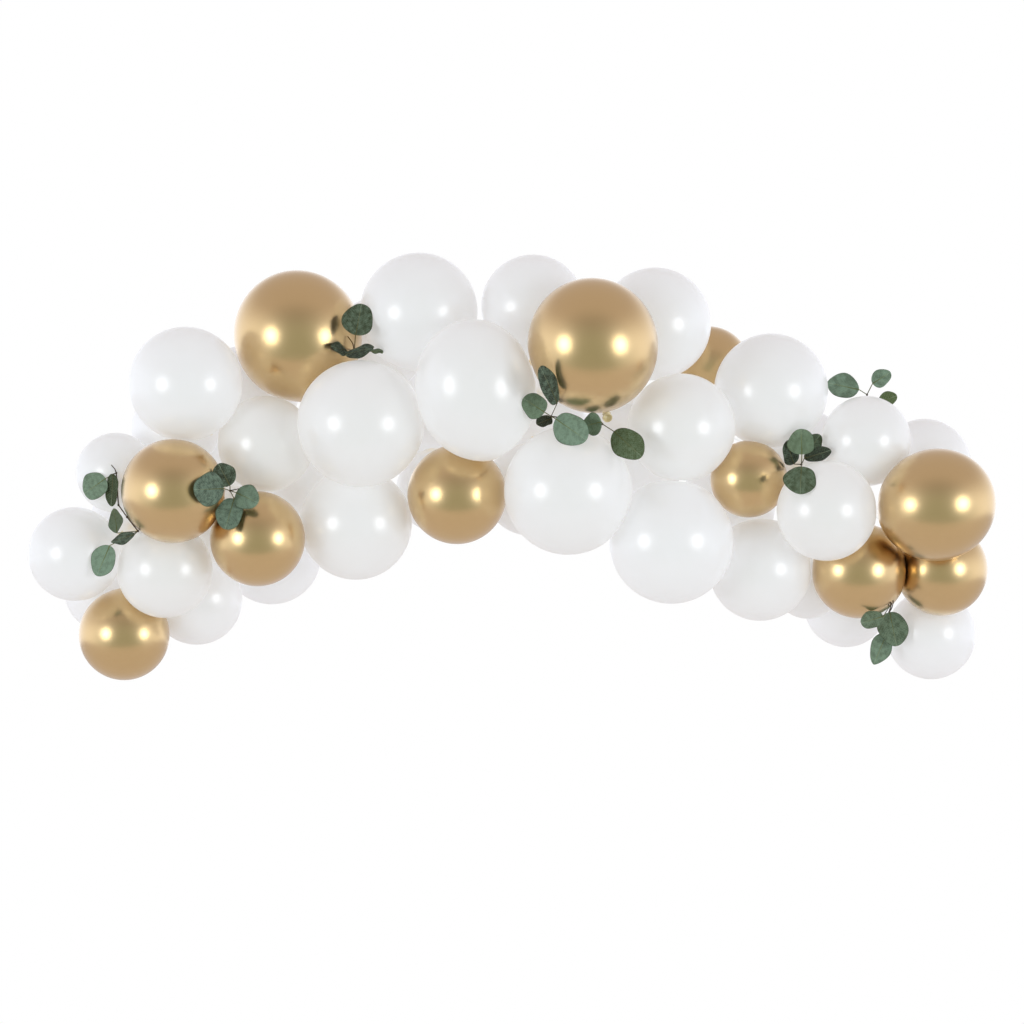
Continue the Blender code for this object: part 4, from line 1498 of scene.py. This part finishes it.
set_values(shader, {"Roughness": 0.55, "IOR": 1.25})
bloom = node(
    tree,
    "ShaderNodeTexNoise",
    {"Scale": BLOOM_PATCHES, "Detail": 3.0},
    {"Vector": flat_place.outputs["Vector"]},
)
patchy = node(
    tree,
    "ShaderNodeMapRange",
    {**SMOOTHLY, "From Min": 0.3, "From Max": 0.7, "To Min": -0.22, "To Max": 0.22},
    {"Value": bloom.outputs["Fac"]},
)
# Each leaf's paleness, partly painted shade, plus patches of bloom
tone_and_shade = node(
    tree,
    "ShaderNodeMath",
    {"operation": "ADD"},
    {0: leaf_value["tone_and_shade"], 1: patchy.outputs["Result"]},
)
olive_share = node(tree, "ShaderNodeMath", {"operation": "MULTIPLY", 1: 0.8}, {0: leaf_value["olive"]})
vein_share = node(tree, "ShaderNodeMath", {"operation": "MULTIPLY", 1: 0.42}, {0: veins.outputs["Value"]})
beside = node(tree, "ShaderNodeMath", {"operation": "ABSOLUTE"}, {0: leaf_value["side"]})
rim = node(
    tree,
    "ShaderNodeMapRange",
    {**SMOOTHLY, "From Min": 0.93, "From Max": 0.99, "To Min": 0.0, "To Max": 0.65},
    {"Value": beside.outputs["Value"]},
)
blade = node(
    tree,
    "ShaderNodeMix",
    {"data_type": "RGBA", 6: linear("#1c251d"), 7: linear("#809a87")},
    {0: tone_and_shade.outputs["Value"]},
)
coats = (
    (olive_share.outputs["Value"], "#56662f"),
    (vein_share.outputs["Value"], "#a9baa0"),
    (rim.outputs["Result"], "#39462f"),
)
for share, colour in coats:
    blade = node(
        tree,
        "ShaderNodeMix",
        {"data_type": "RGBA", 7: linear(colour)},
        {0: share, 6: blade.outputs[2]},
    )
relief = node(
    tree,
    "ShaderNodeBump",
    {"Strength": 0.35, "Distance": 0.0004},
    {"Height": veins.outputs["Value"]},
)
tree.links.new(blade.outputs[2], shader.inputs["Base Color"])
tree.links.new(relief.outputs["Normal"], shader.inputs["Normal"])
print("patches of bloom every", round(1000 / BLOOM_PATCHES), "mm")

# %% [markdown]
# Young stalks are olive green and turn to brown wood towards the thick end. The bark is finely mottled.

# %% Eucalyptus wood
BARK_GRAIN = 0.0025

wood_material, tree, shader = principled("eucalyptus_wood")
set_values(shader, {"Roughness": 0.6, "IOR": 1.45})
place = node(tree, "ShaderNodeTexCoord")
bark = node(
    tree,
    "ShaderNodeTexNoise",
    {"Scale": 1.0 / BARK_GRAIN, "Detail": 2.0},
    {"Vector": place.outputs["Object"]},
)
brown = node(
    tree,
    "ShaderNodeMix",
    {"data_type": "RGBA", 6: linear("#2e2015"), 7: linear("#4c3826")},
    {0: bark.outputs["Fac"]},
)
green = node(tree, "ShaderNodeAttribute", {"attribute_name": "green"})
young = node(
    tree,
    "ShaderNodeMix",
    {"data_type": "RGBA", 7: linear("#74803f")},
    {0: green.outputs["Fac"], 6: brown.outputs[2]},
)
relief = node(
    tree,
    "ShaderNodeBump",
    {"Strength": 0.3, "Distance": 0.0003},
    {"Height": bark.outputs["Fac"]},
)
tree.links.new(young.outputs[2], shader.inputs["Base Color"])
tree.links.new(relief.outputs["Normal"], shader.inputs["Normal"])
print("bark mottled every", 1000 * BARK_GRAIN, "mm")

# %% [markdown]
# ## Put the sprigs in
#
# One piece for each sprig: its blades in the leaf material, and its stalks, twigs and buds in the wood.

# %% Sprig pieces
# How far apart two leaves lie in the pattern of veins and bloom, so that no two are alike
LEAF_APART = 0.05


def sprig_piece(name, plan, place):
    """One sprig as one object: the blades first, then the stalks and the wood."""
    blades = [leaf_skin(leaf) for leaf in place["leaves"]]
    stalks = [stalk_skin(leaf, place["forks"][leaf["fork"]], place["sign"]) for leaf in place["leaves"]]
    wood = wood_skins(plan, place)
    skins = [blade[0] for blade in blades] + [stalk[0] for stalk in stalks] + wood
    empty = [np.zeros(skin.shape[:2]) for skin in skins[len(blades) :]]
    full = [np.ones(blade[0].shape[:2]) for blade in blades]
    bare = [0.0 * one for one in full], empty[len(stalks) :]
    values = {
        "along": [blade[1] for blade in blades] + empty,
        "across": [blade[2] for blade in blades] + empty,
        "side": [blade[3] for blade in blades] + empty,
        "green": bare[0] + [stalk[1] for stalk in stalks] + bare[1],
    }
    labels = (("tone_and_shade", "tone_and_shade", 1.0), ("olive", "olive", 1.0), ("leaf", "number", LEAF_APART))
    for label, key, factor in labels:
        each = [one * leaf[key] * factor for one, leaf in zip(full, place["leaves"])]
        values[label] = each + empty
    kinds = [0] * len(blades) + [1] * (len(skins) - len(blades))
    piece = add_piece(name + "_leaves", skins, [leaf_material, wood_material], values, kinds)
    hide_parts(name)
    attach(piece, "root")
    return piece


for name, plan in SPRIGS.items():
    piece = sprig_piece(name, plan, places[name])
    volume, count = signed_volume(piece)
    print(name, count, "triangles,", round(volume * 1e6, 2), "ml")
